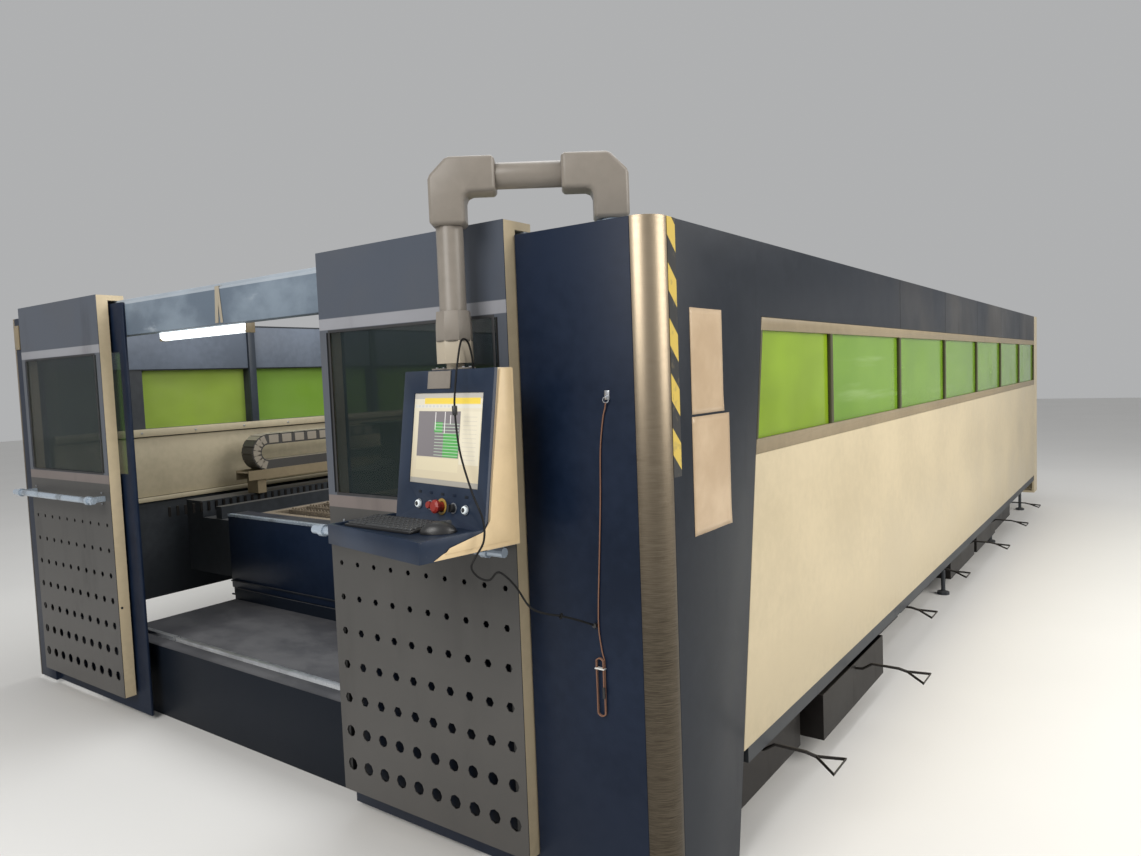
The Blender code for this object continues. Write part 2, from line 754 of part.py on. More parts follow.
def leaf_handle(left, side):
    """The long round bar across a leaf, on two standoffs that each end in an eye."""
    meeting = left + 0.004 if side > 0 else left + LEAF_WIDTH - 0.004
    outer = meeting + side * (LEAF_WIDTH + 0.012)
    axis_y = LEAF_FRONT_Y - HANDLE_STANDOFF
    low, high = sorted((meeting, outer))
    eyes = sorted((meeting + side * 0.050, meeting + side * (LEAF_WIDTH - 0.060)))
    eye_radius = HANDLE_RADIUS + 0.006
    profile = [(0, low), (HANDLE_RADIUS, low)]
    for x in eyes:
        profile += [(HANDLE_RADIUS, x - 0.012), (eye_radius, x - 0.012), (eye_radius, x + 0.012),
                    (HANDLE_RADIUS, x + 0.012)]
    profile += [(HANDLE_RADIUS, high), (0, high)]
    lying = Matrix.Translation((0.0, axis_y, HANDLE_Z)) @ Matrix.Rotation(math.radians(90.0), 4, "Y")
    handle = turned(profile, 12, lying)
    legs = [
        block((x - 0.009, x + 0.009), (axis_y, LEAF_FRONT_Y - SEAT), (HANDLE_Z - 0.013, HANDLE_Z + 0.013))
        for x in eyes
    ]
    return united(handle, *legs)


for side, word, left in (
    (1, "right", RIGHT_LEAF_LEFT),
    (-1, "left", LEFT_LEAF_RIGHT - LEAF_WIDTH),
):
    part(f"{word}_door_skin", leaf_skin(left), DOOR_GREY)
    part(f"{word}_door_frame", leaf_frame(left), CREAM)
    part(f"{word}_door_window", leaf_window(left), DARK_PANE)
    part(f"{word}_door_handle", leaf_handle(left, side), BARE_STEEL, smooth=True)


# Bed with its drawer runners, guide rails and feet

def runner_y(number):
    """The Y of the runner before drawer number, counted from 0 at the front."""
    return DRAWER_FIRST_Y + DRAWER_PITCH * (number - 0.5)


def bed_frame():
    beams = []
    for side in (1, -1):
        beams.append(block(
            sided(side, BEAM_INNER_X, BEAM_OUTER_X), (BED_FRONT_Y, BED_REAR_Y), (BED_BEAM_BOTTOM, BED_BEAM_TOP),
        ))
    bed = beams[0]
    lap = 0.01
    tools = [beams[1]]
    tools.append(block(
        (-BEAM_INNER_X - lap, BEAM_INNER_X + lap), (BED_FRONT_Y, BED_FRONT_Y + BED_WALL),
        (CROSS_BOTTOM, BED_BEAM_TOP - lap),
    ))
    cross_ys = [runner_y(number) for number in (2, 4, 6)] + [BED_REAR_Y - BED_WALL / 2]
    reach = POST_INNER_X - SEAT
    for y in cross_ys:
        tools.append(block(
            (-reach, reach), (y - BED_WALL / 2, y + BED_WALL / 2), (CROSS_BOTTOM, BED_BEAM_BOTTOM + lap),
        ))
        for side in (1, -1):
            tools.append(foot(side * FOOT_X, y, CROSS_BOTTOM + lap))
    for side in (1, -1):
        tools.append(block(
            sided(side, LEDGE_INNER_X, BEAM_INNER_X + lap), (BED_FRONT_Y + BED_WALL - lap, BED_REAR_Y),
            (PALLET_BOTTOM - SEAT - LEDGE_THICKNESS, PALLET_BOTTOM - SEAT),
        ))
        tools.append(block(
            sided(side, RAIL_X - RAIL_WIDTH / 2, RAIL_X + RAIL_WIDTH / 2), (BED_FRONT_Y + lap, BED_REAR_Y - lap),
            (BED_BEAM_TOP - lap, BED_BEAM_TOP + RAIL_HEIGHT),
        ))
        tools.append(block(
            sided(side, RAIL_COVER_INNER_X, BEAM_OUTER_X), (BED_FRONT_Y, BED_REAR_Y),
            (BED_BEAM_TOP - lap, RAIL_COVER_TOP),
        ))
    for number in range(1, DRAWER_COUNT + 1):
        y = runner_y(number)
        tools.append(block(
            (-BEAM_OUTER_X, BEAM_OUTER_X), (y - RUNNER_WEB / 2, y + RUNNER_WEB / 2),
            (DRAWER_BOTTOM - SEAT - RUNNER_THICKNESS / 2, BED_BEAM_BOTTOM + lap),
        ))
        tools.append(block(
            (-BEAM_OUTER_X, BEAM_OUTER_X), (y - RUNNER_FLANGE / 2, y + RUNNER_FLANGE / 2),
            (DRAWER_BOTTOM - SEAT - RUNNER_THICKNESS, DRAWER_BOTTOM - SEAT),
        ))
    return tidied(united(bed, *tools))


def front_step():
    """The worn step in the opening: riser, tread, rear upstand and a shelf for the first drawer."""
    tread_back = COVER_Y - SEAT
    outline = [
        (STEP_Y, 0.0), (STEP_Y + STEP_SHEET, 0.0),
        (STEP_Y + STEP_SHEET, DRAWER_BOTTOM - SEAT - RUNNER_THICKNESS),
        (DRAWER_FIRST_EDGE_Y + 0.03, DRAWER_BOTTOM - SEAT - RUNNER_THICKNESS),
        (DRAWER_FIRST_EDGE_Y + 0.03, DRAWER_BOTTOM - SEAT),
        (STEP_Y + STEP_SHEET, DRAWER_BOTTOM - SEAT),
        (STEP_Y + STEP_SHEET, STEP_TOP - STEP_SHEET), (tread_back, STEP_TOP - STEP_SHEET),
        (tread_back, COVER_BOTTOM - SEAT), (tread_back - STEP_SHEET, COVER_BOTTOM - SEAT),
        (tread_back - STEP_SHEET, STEP_TOP), (STEP_Y, STEP_TOP),
    ]
    return prism(outline, "X", -STEP_HALF_WIDTH, STEP_HALF_WIDTH)


def bed_front_cover():
    """The dark cover on the front of the bed, folded over its top edge and under its foot."""
    back = BED_FRONT_Y + BED_WALL
    outline = [
        (COVER_Y, COVER_BOTTOM), (COVER_Y, COVER_TOP), (back, COVER_TOP), (back, COVER_TOP - COVER_SHEET),
        (COVER_Y + COVER_SHEET, COVER_TOP - COVER_SHEET),
        (COVER_Y + COVER_SHEET, COVER_BOTTOM + COVER_SHEET), (BED_FRONT_Y - SEAT, COVER_BOTTOM + COVER_SHEET),
        (BED_FRONT_Y - SEAT, COVER_BOTTOM),
    ]
    return prism(outline, "X", -COVER_HALF_WIDTH, COVER_HALF_WIDTH)


part("bed_frame", bed_frame(), SLATE)
part("front_step", front_step(), SLATE)
part("bed_front_cover", bed_front_cover(), NAVY)


# Slatted pallet

def pallet():
    """Pallet frame with its row of cross slats."""
    half = PALLET_WIDTH / 2
    top = PALLET_BOTTOM + PALLET_HEIGHT
    rear = PALLET_FRONT_Y + PALLET_LENGTH
    frame = block((-half, half), (PALLET_FRONT_Y, rear), (PALLET_BOTTOM, top))
    inner = half - PALLET_RAIL
    pitch = (PALLET_LENGTH - 2 * PALLET_RAIL + SLAT_WIDTH) / SLAT_COUNT
    gap = pitch - SLAT_WIDTH
    tools = [
        block((-inner, inner), (PALLET_FRONT_Y + PALLET_RAIL, rear - PALLET_RAIL),
              (PALLET_BOTTOM - 0.01, PALLET_BOTTOM + SLAT_BOTTOM))
    ]
    frame = cut(frame, tools)
    slots = []
    for number in range(SLAT_COUNT):
        start = PALLET_FRONT_Y + PALLET_RAIL + pitch * number
        slots.append(block((-inner, inner), (start, start + gap), (PALLET_BOTTOM, top + 0.01)))
    return tidied(cut(frame, slots))


part("pallet", pallet(), BLACK_STEEL, pivot=(0.0, PALLET_FRONT_Y, PALLET_BOTTOM))


# Scrap drawers with their pull rods

def scrap_drawer(number):
    """A long open tray and the bent rod with a hand loop that pulls it out."""
    centre = DRAWER_FIRST_Y + DRAWER_PITCH * number
    start = centre - (DRAWER_PITCH - DRAWER_GAP) / 2
    end = centre + (DRAWER_PITCH - DRAWER_GAP) / 2
    if number == 0:
        start = DRAWER_FIRST_EDGE_Y
    pulled = DRAWER_PULLED[number]
    front = DRAWER_FRONT_X + pulled
    rear = DRAWER_INNER_X + pulled
    tray = block((rear, front), (start, end), (DRAWER_BOTTOM, DRAWER_TOP))
    wall = DRAWER_SHEET
    hollow = block(
        (rear + wall, front - wall), (start + wall, end - wall), (DRAWER_BOTTOM + wall, DRAWER_TOP + wall),
    )
    tray = cut(tray, [hollow])
    apex_x = SIDE + PULL_STEM + pulled
    drop = PULL_SLOPE * PULL_STEM
    apex = Vector((apex_x, centre, PULL_Z - drop))
    base_x = apex_x + PULL_LOOP_LENGTH
    base_z = apex.z - PULL_SLOPE * PULL_LOOP_LENGTH
    stem = bar([
        (front - wall / 2, centre, DRAWER_TOP - 0.025), (front + 0.03, centre, DRAWER_TOP - 0.022),
        (front + 0.07, centre, PULL_Z), (SIDE + pulled, centre, PULL_Z),
        (apex.x + 0.004, centre, apex.z - 0.001),
    ], PULL_RADIUS)
    loop = bar([
        tuple(apex), (base_x, centre - PULL_LOOP_WIDTH / 2, base_z), (base_x, centre + PULL_LOOP_WIDTH / 2, base_z),
    ], PULL_RADIUS, closed=True)
    shape = tidied(united(tray, united(stem, loop)))
    return shape, (front, centre, DRAWER_BOTTOM)


for number in range(DRAWER_COUNT):
    shape, pivot = scrap_drawer(number)
    part(f"scrap_drawer_{number + 1}", shape, BLACK_STEEL, pivot=pivot)


# Gantry, head carriage and cutting head

TRUCK_BOTTOM = BED_BEAM_TOP + RAIL_HEIGHT + SEAT
CHAIN_TOP = CHAIN_BEND_Z + CHAIN_RADIUS + CHAIN_HEIGHT / 2


def gantry():
    """Cross beam on two end trucks, with the arm that carries the energy chain."""
    y = GANTRY_Y
    half = GANTRY_DEPTH / 2
    chamfer = 0.05
    section = [
        (y - half, TRUCK_TOP - 0.02), (y + half, TRUCK_TOP - 0.02), (y + half, GANTRY_TOP - chamfer),
        (y + half - chamfer, GANTRY_TOP), (y - half, GANTRY_TOP),
    ]
    beam = prism(section, "X", -GANTRY_HALF_LENGTH, GANTRY_HALF_LENGTH)
    tools = []
    for side in (1, -1):
        inner = RAIL_X - TRUCK_WIDTH / 2
        outer = RAIL_X + TRUCK_WIDTH / 2
        tools.append(prism([
            (y - TRUCK_HALF_LENGTH, TRUCK_BOTTOM), (y + TRUCK_HALF_LENGTH, TRUCK_BOTTOM),
            (y + TRUCK_HALF_LENGTH, TRUCK_TOP - 0.06), (y + half + 0.04, TRUCK_TOP),
            (y - half - 0.04, TRUCK_TOP), (y - TRUCK_HALF_LENGTH, TRUCK_TOP - 0.06),
        ], "X", *sided(side, inner, outer)))
        rail = block(
            (-RAIL_X + 0.10, RAIL_X - 0.10), (y - half - 0.014, y - half + 0.01),
            (GANTRY_TOP - 0.05 - 0.14 * (side + 1) / 2, GANTRY_TOP - 0.03 - 0.14 * (side + 1) / 2),
        )
        tools.append(rail)
    tools.append(block(
        (CHAIN_X - CHAIN_WIDTH / 2, -RAIL_X), (y - half - 0.06, y + half - chamfer - 0.02),
        (CHAIN_TOP + SEAT, CHAIN_TOP + 0.014),
    ))
    return tidied(united(beam, *tools))


CARRIAGE_Y = GANTRY_Y - GANTRY_DEPTH / 2 - 0.014 - SEAT
CARRIAGE_DEPTH = 0.030
SLIDE_Y = CARRIAGE_Y - CARRIAGE_DEPTH - SEAT
SLIDE_DEPTH = 0.040
HEAD_Y = SLIDE_Y - SLIDE_DEPTH - 0.045


def head_carriage():
    """The plate that travels along the beam."""
    plate = block((-0.16, 0.16), (CARRIAGE_Y - CARRIAGE_DEPTH, CARRIAGE_Y), (1.02, 1.46))
    cap = block((-0.09, 0.09), (CARRIAGE_Y - CARRIAGE_DEPTH, CARRIAGE_Y + 0.16), (1.30, 1.40))
    return tidied(bevelled(tidied(united(plate, cap)), 0.006))


def z_slide():
    """The lifting slide that carries the head."""
    return bevelled(block((-0.075, 0.075), (SLIDE_Y - SLIDE_DEPTH, SLIDE_Y), (1.02, 1.42)), 0.005)


def cutting_head():
    """Turned cutting head: fibre connector, collimator, lens drawer, focus barrel and nozzle."""
    centre = upright(0.0, HEAD_Y)
    profile = [
        (0, 0.885), (0.004, 0.885), (0.012, 0.905), (0.012, 0.915), (0.022, 0.918), (0.022, 0.935),
        (0.034, 0.955), (0.034, 1.06), (0.040, 1.065), (0.040, 1.18), (0.033, 1.19), (0.033, 1.28),
        (0.020, 1.29), (0.020, 1.36), (0.012, 1.38), (0, 1.38),
    ]
    barrel = turned(profile, 12, centre)
    clamp = block((-0.040, 0.040), (HEAD_Y + 0.010, SLIDE_Y - SLIDE_DEPTH - SEAT), (1.07, 1.17))
    lens_drawer = block((0.020, 0.052), (HEAD_Y - 0.022, HEAD_Y + 0.022), (0.985, 1.020))
    return tidied(united(barrel, clamp, lens_drawer))


part("gantry_beam", gantry(), SLATE, pivot=(0.0, GANTRY_Y, TRUCK_BOTTOM))
part("head_carriage", head_carriage(), STEEL_BLUE, pivot=(0.0, CARRIAGE_Y, GANTRY_TOP))
part("z_slide", z_slide(), WINDOW_GREY, pivot=(0.0, SLIDE_Y, GANTRY_TOP))
part("cutting_head", cutting_head(), BARE_STEEL, pivot=(0.0, HEAD_Y, 0.885), smooth=True)


# Energy chain and its tray

def chain_path():
    """Points and outward directions along the middle of the chain, a link apart."""
    path = []
    low = CHAIN_BEND_Z - CHAIN_RADIUS
    high = CHAIN_BEND_Z + CHAIN_RADIUS
    count = round((CHAIN_FIXED_Y - CHAIN_BEND_Y) / CHAIN_LINK)
    for step in range(count):
        path.append((CHAIN_FIXED_Y - (CHAIN_FIXED_Y - CHAIN_BEND_Y) * step / count, low, 0.0, -1.0))
    bend_steps = 8
    for step in range(bend_steps):
        turn = math.radians(-90.0 - 180.0 * step / bend_steps)
        across = math.cos(turn)
        up = math.sin(turn)
        path.append((CHAIN_BEND_Y + CHAIN_RADIUS * across, CHAIN_BEND_Z + CHAIN_RADIUS * up, across, up))
    top_end = GANTRY_Y + GANTRY_DEPTH / 2 - 0.11
    count = round((top_end - CHAIN_BEND_Y) / CHAIN_LINK)
    for step in range(count + 1):
        path.append((CHAIN_BEND_Y + (top_end - CHAIN_BEND_Y) * step / count, high, 0.0, 1.0))
    return path


def energy_chain():
    """The chain as one outline with a notch between links on its outer face."""
    outer = []
    inner = []
    path = chain_path()
    half = CHAIN_HEIGHT / 2
    for (y, z, out_y, out_z), (next_y, next_z, next_out_y, next_out_z) in zip(path, path[1:]):
        outer.append((y + out_y * half, z + out_z * half))
        inner.append((y - out_y * half, z - out_z * half))
        share = 1.0 - CHAIN_NOTCH / CHAIN_LINK
        for portion, depth in ((share, 0.0), (share, CHAIN_NOTCH_DEPTH), (1.0, CHAIN_NOTCH_DEPTH)):
            middle_y = y + (next_y - y) * portion
            middle_z = z + (next_z - z) * portion
            normal = Vector((out_y, out_z)).lerp(Vector((next_out_y, next_out_z)), portion).normalized()
            outer.append((middle_y + normal.x * (half - depth), middle_z + normal.y * (half - depth)))
    last = path[-1]
    outer.append((last[0] + last[2] * half, last[1] + last[3] * half))
    inner.append((last[0] - last[2] * half, last[1] - last[3] * half))
    outline = outer + inner[::-1]
    return tidied(prism(outline, "X", CHAIN_X - CHAIN_WIDTH / 2, CHAIN_X + CHAIN_WIDTH / 2))


def chain_tray():
    """The open channel under the chain, on legs that stand on the rail cover."""
    floor_top = CHAIN_BEND_Z - CHAIN_RADIUS - CHAIN_HEIGHT / 2 - SEAT
    left = CHAIN_X - CHAIN_WIDTH / 2 - 0.010
    right = CHAIN_X + CHAIN_WIDTH / 2 + 0.010
    wall = TRAY_FLOOR
    lip = floor_top + 0.012
    section = [
        (left, floor_top - 0.05), (left + wall, floor_top - 0.05), (left + wall, floor_top - wall),
        (right - wall, floor_top - wall), (right - wall, floor_top - 0.05), (right, floor_top - 0.05),
        (right, lip), (right - wall, lip), (right - wall, floor_top), (left + wall, floor_top),
        (left + wall, lip), (left, lip),
    ]
    start = CHAIN_BEND_Y - 0.16
    end = BED_REAR_Y - 0.20
    tray = prism(section, "Y", start, end)
    legs = []
    for number in range(4):
        y = start + 0.10 + (end - start - 0.20) * number / 3
        legs.append(block(
            (left + 0.012, right - 0.012), (y - 0.03, y + 0.03), (RAIL_COVER_TOP + SEAT, floor_top - wall / 2),
        ))
    return tidied(united(tray, *legs))


part("energy_chain", energy_chain(), CHAIN_GREY)
part("chain_tray", chain_tray(), WINDOW_GREY)


# Rear wall

def rear_wall():
    """A pan that closes the rear end, with the mouth that the pallet rolls through."""
    front = CLAD_REAR + SEAT
    pan = block((-SIDE, SIDE), (front, LENGTH), (REAR_BOTTOM, HEIGHT))
    hollow = block(
        (-SIDE + REAR_SHEET, SIDE - REAR_SHEET), (front - REAR_SHEET, LENGTH - REAR_SHEET),
        (REAR_BOTTOM + REAR_SHEET, HEIGHT - REAR_SHEET),
    )
    pan = cut(pan, [hollow])
    mouth = block(
        (-MOUTH_HALF_WIDTH, MOUTH_HALF_WIDTH), (front, LENGTH + REAR_SHEET), (MOUTH_BOTTOM, MOUTH_TOP),
    )
    return cut(pan, [mouth])


part("rear_wall", rear_wall(), CREAM)


# Support arm

ARM_DIRECTION = Vector((math.cos(ARM_BEARING), math.sin(ARM_BEARING), 0.0))
DROP_X = POST_X + ARM_REACH * ARM_DIRECTION.x


def elbow(bearing, low):
    """A cast elbow: upright leg, level leg, and a chamfer over the corner. Its axis is at 0, 0."""
    half = ELBOW_WIDTH / 2
    reach = half + ELBOW_LEG
    top = ARM_Z + half
    outline = [
        (-half, low), (half, low), (half, ARM_Z - half - 0.012), (half + 0.012, ARM_Z - half),
        (reach, ARM_Z - half), (reach, top), (-half + 0.055, top), (-half, top - 0.055),
    ]
    body = prism(outline, "Y", -half, half)
    body = bevelled(body, 0.010)
    body.data.transform(Matrix.Rotation(bearing, 4, "Z"))
    return body


def moved(shape, x, y):
    shape.data.transform(Matrix.Translation((x, y, 0.0)))
    return shape


half_elbow = ELBOW_WIDTH / 2
tube_start = half_elbow + ELBOW_LEG + SEAT
tube_end = ARM_REACH - tube_start
arm_axis = (
    Matrix.Translation((POST_X, POST_Y, ARM_Z))
    @ Matrix.Rotation(ARM_BEARING, 4, "Z")
    @ Matrix.Rotation(math.radians(90.0), 4, "Y")
)
pivot = (POST_X, POST_Y, ELBOW_BASE_Z)
part("rear_elbow", moved(elbow(ARM_BEARING, ELBOW_BASE_Z), POST_X, POST_Y), ARM_TAUPE, pivot, True)
part("arm_tube", rounded(ARM_TUBE_RADIUS, tube_start, tube_end, 16, arm_axis), ARM_TAUPE, pivot, True)
front_low = ARM_Z - half_elbow - ELBOW_LEG
part(
    "front_elbow", moved(elbow(ARM_BEARING + math.pi, front_low), DROP_X, DROP_Y), ARM_TAUPE, pivot, True,
)


def drop_tube(top):
    """The tube that hangs from the front elbow, with the upper half of the swivel coupling welded on."""
    low = COUPLING_SPLIT + SEAT
    tube = rounded(DROP_TUBE_RADIUS, DROP_BOTTOM - 0.01, top, 16, upright(DROP_X, DROP_Y))
    profile = [
        (0, low), (COUPLING_RADIUS, low), (COUPLING_RADIUS, low + 0.035),
        (COUPLING_RADIUS * 0.93, DROP_BOTTOM), (0, DROP_BOTTOM),
    ]
    turn = upright(DROP_X, DROP_Y) @ Matrix.Rotation(CONSOLE_YAW + math.radians(22.5), 4, "Z")
    return tidied(united(tube, turned(profile, 8, turn)))


part("drop_tube", drop_tube(front_low - SEAT), ARM_TAUPE, pivot, True)


# Console

CONSOLE = Matrix.Translation((DROP_X, DROP_Y, 0.0)) @ Matrix.Rotation(CONSOLE_YAW, 4, "Z")
LEAN = math.atan2(FACE_TOP_V - FACE_BASE_V, HOUSING_TOP - TRAY_TOP)
FACE = (
    Matrix.Translation((0.0, FACE_BASE_V, TRAY_TOP))
    @ Matrix.Rotation(math.radians(90.0) - LEAN, 4, "X")
)


def on_console(shape):
    shape.data.transform(CONSOLE)
    return shape


CONTROLS = (
    ("start_button", 0.011, 0.006, 0.004, WHITE),
    ("stop_button", 0.011, 0.008, 0.004, RED),
    ("emergency_stop", 0.020, 0.026, 0.006, RED),
    ("selector_switch", 0.012, 0.014, 0.0, BLACK_PLASTIC),
    ("reset_button", 0.011, 0.006, 0.004, WHITE),
)
SHANK_SHARE = 0.7
CONTROL_SIDES = 12


def control_matrix(number):
    u = CONTROL_FIRST_U + CONTROL_PITCH * number
    return FACE @ Matrix.Translation((u, CONTROL_S, 0.0))


def console_housing():
    """Tray and upright housing in one, with the lower half of the coupling, the recess and the bores."""
    outline = [
        (TRAY_FRONT, TRAY_BOTTOM), (CONSOLE_BACK, TRAY_BOTTOM), (CONSOLE_BACK, TRAY_TOP),
        (TRAY_FRONT, TRAY_TOP),
    ]
    rim = TRAY_RIM_HEIGHT
    tray = prism(outline, "X", CONSOLE_LEFT, CONSOLE_RIGHT)
    lip = [
        (TRAY_FRONT, TRAY_TOP - rim), (CONSOLE_BACK, TRAY_TOP - rim), (CONSOLE_BACK, TRAY_TOP + rim),
        (TRAY_FRONT, TRAY_TOP + rim),
    ]
    raised = prism(lip, "X", CONSOLE_LEFT, CONSOLE_RIGHT)
    pocket = block(
        (CONSOLE_LEFT + TRAY_RIM, CONSOLE_RIGHT - TRAY_RIM), (TRAY_FRONT + TRAY_RIM, CONSOLE_BACK - TRAY_RIM),
        (TRAY_TOP, TRAY_TOP + 2 * rim),
    )
    body = cut(united(tray, raised), [pocket])
    upright_outline = [
        (FACE_BASE_V, TRAY_TOP - 0.01), (CONSOLE_BACK, TRAY_TOP - 0.01), (CONSOLE_BACK, HOUSING_TOP),
        (FACE_TOP_V, HOUSING_TOP), (FACE_BASE_V, TRAY_TOP),
    ]
    box = prism(upright_outline, "X", HOUSING_LEFT, HOUSING_RIGHT)
    body = tidied(united(body, box))
    low = HOUSING_TOP - 0.01
    neck = COUPLING_RADIUS / 2
    collar = [(0, low), (neck, low), (neck, COUPLING_BOTTOM), (COUPLING_RADIUS, COUPLING_BOTTOM),
              (COUPLING_RADIUS, COUPLING_SPLIT), (0, COUPLING_SPLIT)]
    body = united(body, turned(collar, 8, Matrix.Rotation(math.radians(22.5), 4, "Z")))
    recess = block(
        (SCREEN_U - SCREEN_WIDTH / 2, SCREEN_U + SCREEN_WIDTH / 2),
        (SCREEN_S - SCREEN_HEIGHT / 2, SCREEN_S + SCREEN_HEIGHT / 2), (-SCREEN_DEPTH, SCREEN_DEPTH),
    )
    recess.data.transform(FACE)
    tools = [recess]
    for number, control_row in enumerate(CONTROLS):
        shank = control_row[1] * SHANK_SHARE + BORE_CLEARANCE
        tools.append(rounded(shank, -BORE_DEPTH, BORE_DEPTH, CONTROL_SIDES, control_matrix(number)))
    return on_console(tidied(cut(body, tools)))


def screen():
    """The display, seated in its recess."""
    shape = block(
        (SCREEN_U - SCREEN_WIDTH / 2 + SEAT, SCREEN_U + SCREEN_WIDTH / 2 - SEAT),
        (SCREEN_S - SCREEN_HEIGHT / 2 + SEAT, SCREEN_S + SCREEN_HEIGHT / 2 - SEAT),
        (-SCREEN_DEPTH + SEAT, -0.003),
    )
    shape.data.transform(FACE)
    return on_console(shape)


def keyboard():
    """Keyboard case with its rows of keys, fused as one."""
    width, depth, height = KEYBOARD_SIZE
    base = TRAY_TOP + SEAT
    case = [(-depth / 2, base), (depth / 2, base), (depth / 2, base + height), (-depth / 2, base + height * 0.6)]
    shape = prism(case, "X", -width / 2, width / 2)
    rows = 5
    pitch = (depth - 0.016) / rows
    tools = []
    for row in range(rows):
        v = -depth / 2 + 0.008 + pitch * (row + 0.5)
        low = base + height * (0.6 + 0.4 * (v / depth + 0.5)) - 0.003
        tools.append(block(
            (-width / 2 + 0.008, width / 2 - 0.008), (v - pitch * 0.42, v + pitch * 0.42), (low, low + 0.007),
        ))
    shape = tidied(united(shape, *tools))
    u, v = KEYBOARD_PLACE
    shape.data.transform(Matrix.Translation((u, v, 0.0)) @ Matrix.Rotation(KEYBOARD_TURN, 4, "Z"))
    return on_console(shape)


def mouse():
    """A domed mouse, flat underneath."""
    bm = bmesh.new()
    bmesh.ops.create_uvsphere(bm, u_segments=14, v_segments=10, radius=1.0)
    width, length, height = MOUSE_SIZE
    for vert in bm.verts:
        vert.co.x *= width / 2 * (1.0 + 0.12 * vert.co.y)
        vert.co.y *= length / 2
        vert.co.z *= height
    bmesh.ops.bisect_plane(
        bm, geom=bm.verts[:] + bm.edges[:] + bm.faces[:], plane_co=(0, 0, height * 0.04),
        plane_no=(0, 0, -1), clear_outer=True,
    )
    rim = [edge for edge in bm.edges if edge.is_boundary]
    bmesh.ops.contextual_create(bm, geom=rim)
    shape = solid(bm)
    u, v = MOUSE_PLACE
    lift = TRAY_TOP + SEAT - height * 0.04
    shape.data.transform(Matrix.Translation((u, v, lift)) @ Matrix.Rotation(MOUSE_TURN, 4, "Z"))
    return on_console(shape)


def control(number, name, radius, height, travel):
    """A push button, mushroom or selector on its shank, standing off the face by its travel."""
    shank = radius * SHANK_SHARE
    lift = travel + SEAT
    if name == "emergency_stop":
        profile = [(0, -BORE_DEPTH + lift + SEAT), (shank, -BORE_DEPTH + lift + SEAT), (shank, lift + height * 0.45),
                   (radius, lift + height * 0.5), (radius, lift + height * 0.8), (radius * 0.7, lift + height),
                   (0, lift + height)]
    else:
        profile = [(0, -BORE_DEPTH + lift + SEAT), (shank, -BORE_DEPTH + lift + SEAT), (shank, lift),
                   (radius, lift), (radius, lift + height * 0.7), (radius * 0.85, lift + height), (0, lift + height)]
    shape = turned(profile, CONTROL_SIDES, control_matrix(number))
    if name == "selector_switch":
        grip = block((-0.003, 0.003), (-radius * 0.9, radius * 0.9), (lift + height * 0.6, lift + height + 0.006))
        grip.data.transform(control_matrix(number))
        shape = united(shape, grip)
    return on_console(tidied(shape))


swivel_pivot = (DROP_X, DROP_Y, COUPLING_SPLIT)
part("console_housing", console_housing(), NAVY, swivel_pivot)
part("screen", screen(), SCREEN_CREAM, swivel_pivot)
part("keyboard", keyboard(), BLACK_PLASTIC, swivel_pivot)
part("mouse", mouse(), BLACK_PLASTIC, swivel_pivot, smooth=True)
for number, (name, radius, height, travel, material) in enumerate(CONTROLS):
    place = CONSOLE @ control_matrix(number)
    part(name, control(number, name, radius, height, travel), material, place.translation, smooth=True)


# Loose leads

CONSOLE_LEAD_RADIUS = 0.003
PANEL_LEAD_RADIUS = 0.002
LEAD_STEP = 0.018
HANK_TOP = 0.780
HANK_LENGTH = 0.170
HANK_WIDTH = 0.024
HANK_DEPTH = 0.010
HANK_X = 1.838


def flowing(points, spacing):
    """Read points at an even spacing from the smooth curve through the given ones."""
    spots = [Vector(point) for point in points]
    ends = [2 * spots[0] - spots[1]] + spots + [2 * spots[-1] - spots[-2]]
    fine = []
    steps = 16
    for before, start, end, after in zip(ends, ends[1:], ends[2:], ends[3:]):
        for step in range(steps):
            t = step / steps
            fine.append(0.5 * (
                2 * start + (end - before) * t
                + (2 * before - 5 * start + 4 * end - after) * t ** 2
                + (3 * start - before - 3 * end + after) * t ** 3
            ))
    fine.append(spots[-1])
    lengths = [0.0]
    for start, end in zip(fine, fine[1:]):
        lengths.append(lengths[-1] + (end - start).length)
    count = max(2, round(lengths[-1] / spacing))
    path = []
    place = 0
    for number in range(count + 1):
        wanted = lengths[-1] * number / count
        while place < len(fine) - 2 and lengths[place + 1] < wanted:
            place += 1
        share = (wanted - lengths[place]) / (lengths[place + 1] - lengths[place])
        path.append(fine[place].lerp(fine[place + 1], share))
    return path


BESIDE_CONSOLE = (
    (0.070, 0.010, HOUSING_TOP + SEAT), (0.070, 0.006, 1.660), (0.072, -0.008, 1.698),
    (0.080, -0.036, 1.700), (0.090, -0.060, 1.640), (0.101, -0.080, 1.570), (0.110, -0.092, 1.505),
    (0.142, -0.105, 1.395), (0.196, -0.112, 1.289), (0.240, -0.112, 1.215), (0.252, -0.122, 1.160),
    (0.248, -0.150, 1.120), (0.246, -0.162, 1.095), (0.247, -0.140, 1.066), (0.249, -0.105, 1.052),
    (0.246, -0.070, 1.066),
)
HANGING = (
    (1.694, -0.200, 1.018), (1.716, -0.166, 0.953), (1.740, -0.130, 0.928), (1.766, -0.095, 0.916),
    (1.795, -0.050, 0.896), (1.814, -0.020, 0.880), (1.822, -0.0036, 0.872),
)
PANEL_ROUTE = (
    (1.889, -0.0100, 1.512), (1.884, -0.0065, 1.497), (1.874, -0.0045, 1.465), (1.862, -0.0040, 1.379),
    (1.856, -0.0040, 1.237), (1.846, -0.0040, 1.080), (1.836, -0.0040, 0.930), (1.835, -0.0045, 0.860),
    (1.838, -0.0055, HANK_TOP + SEAT),
)


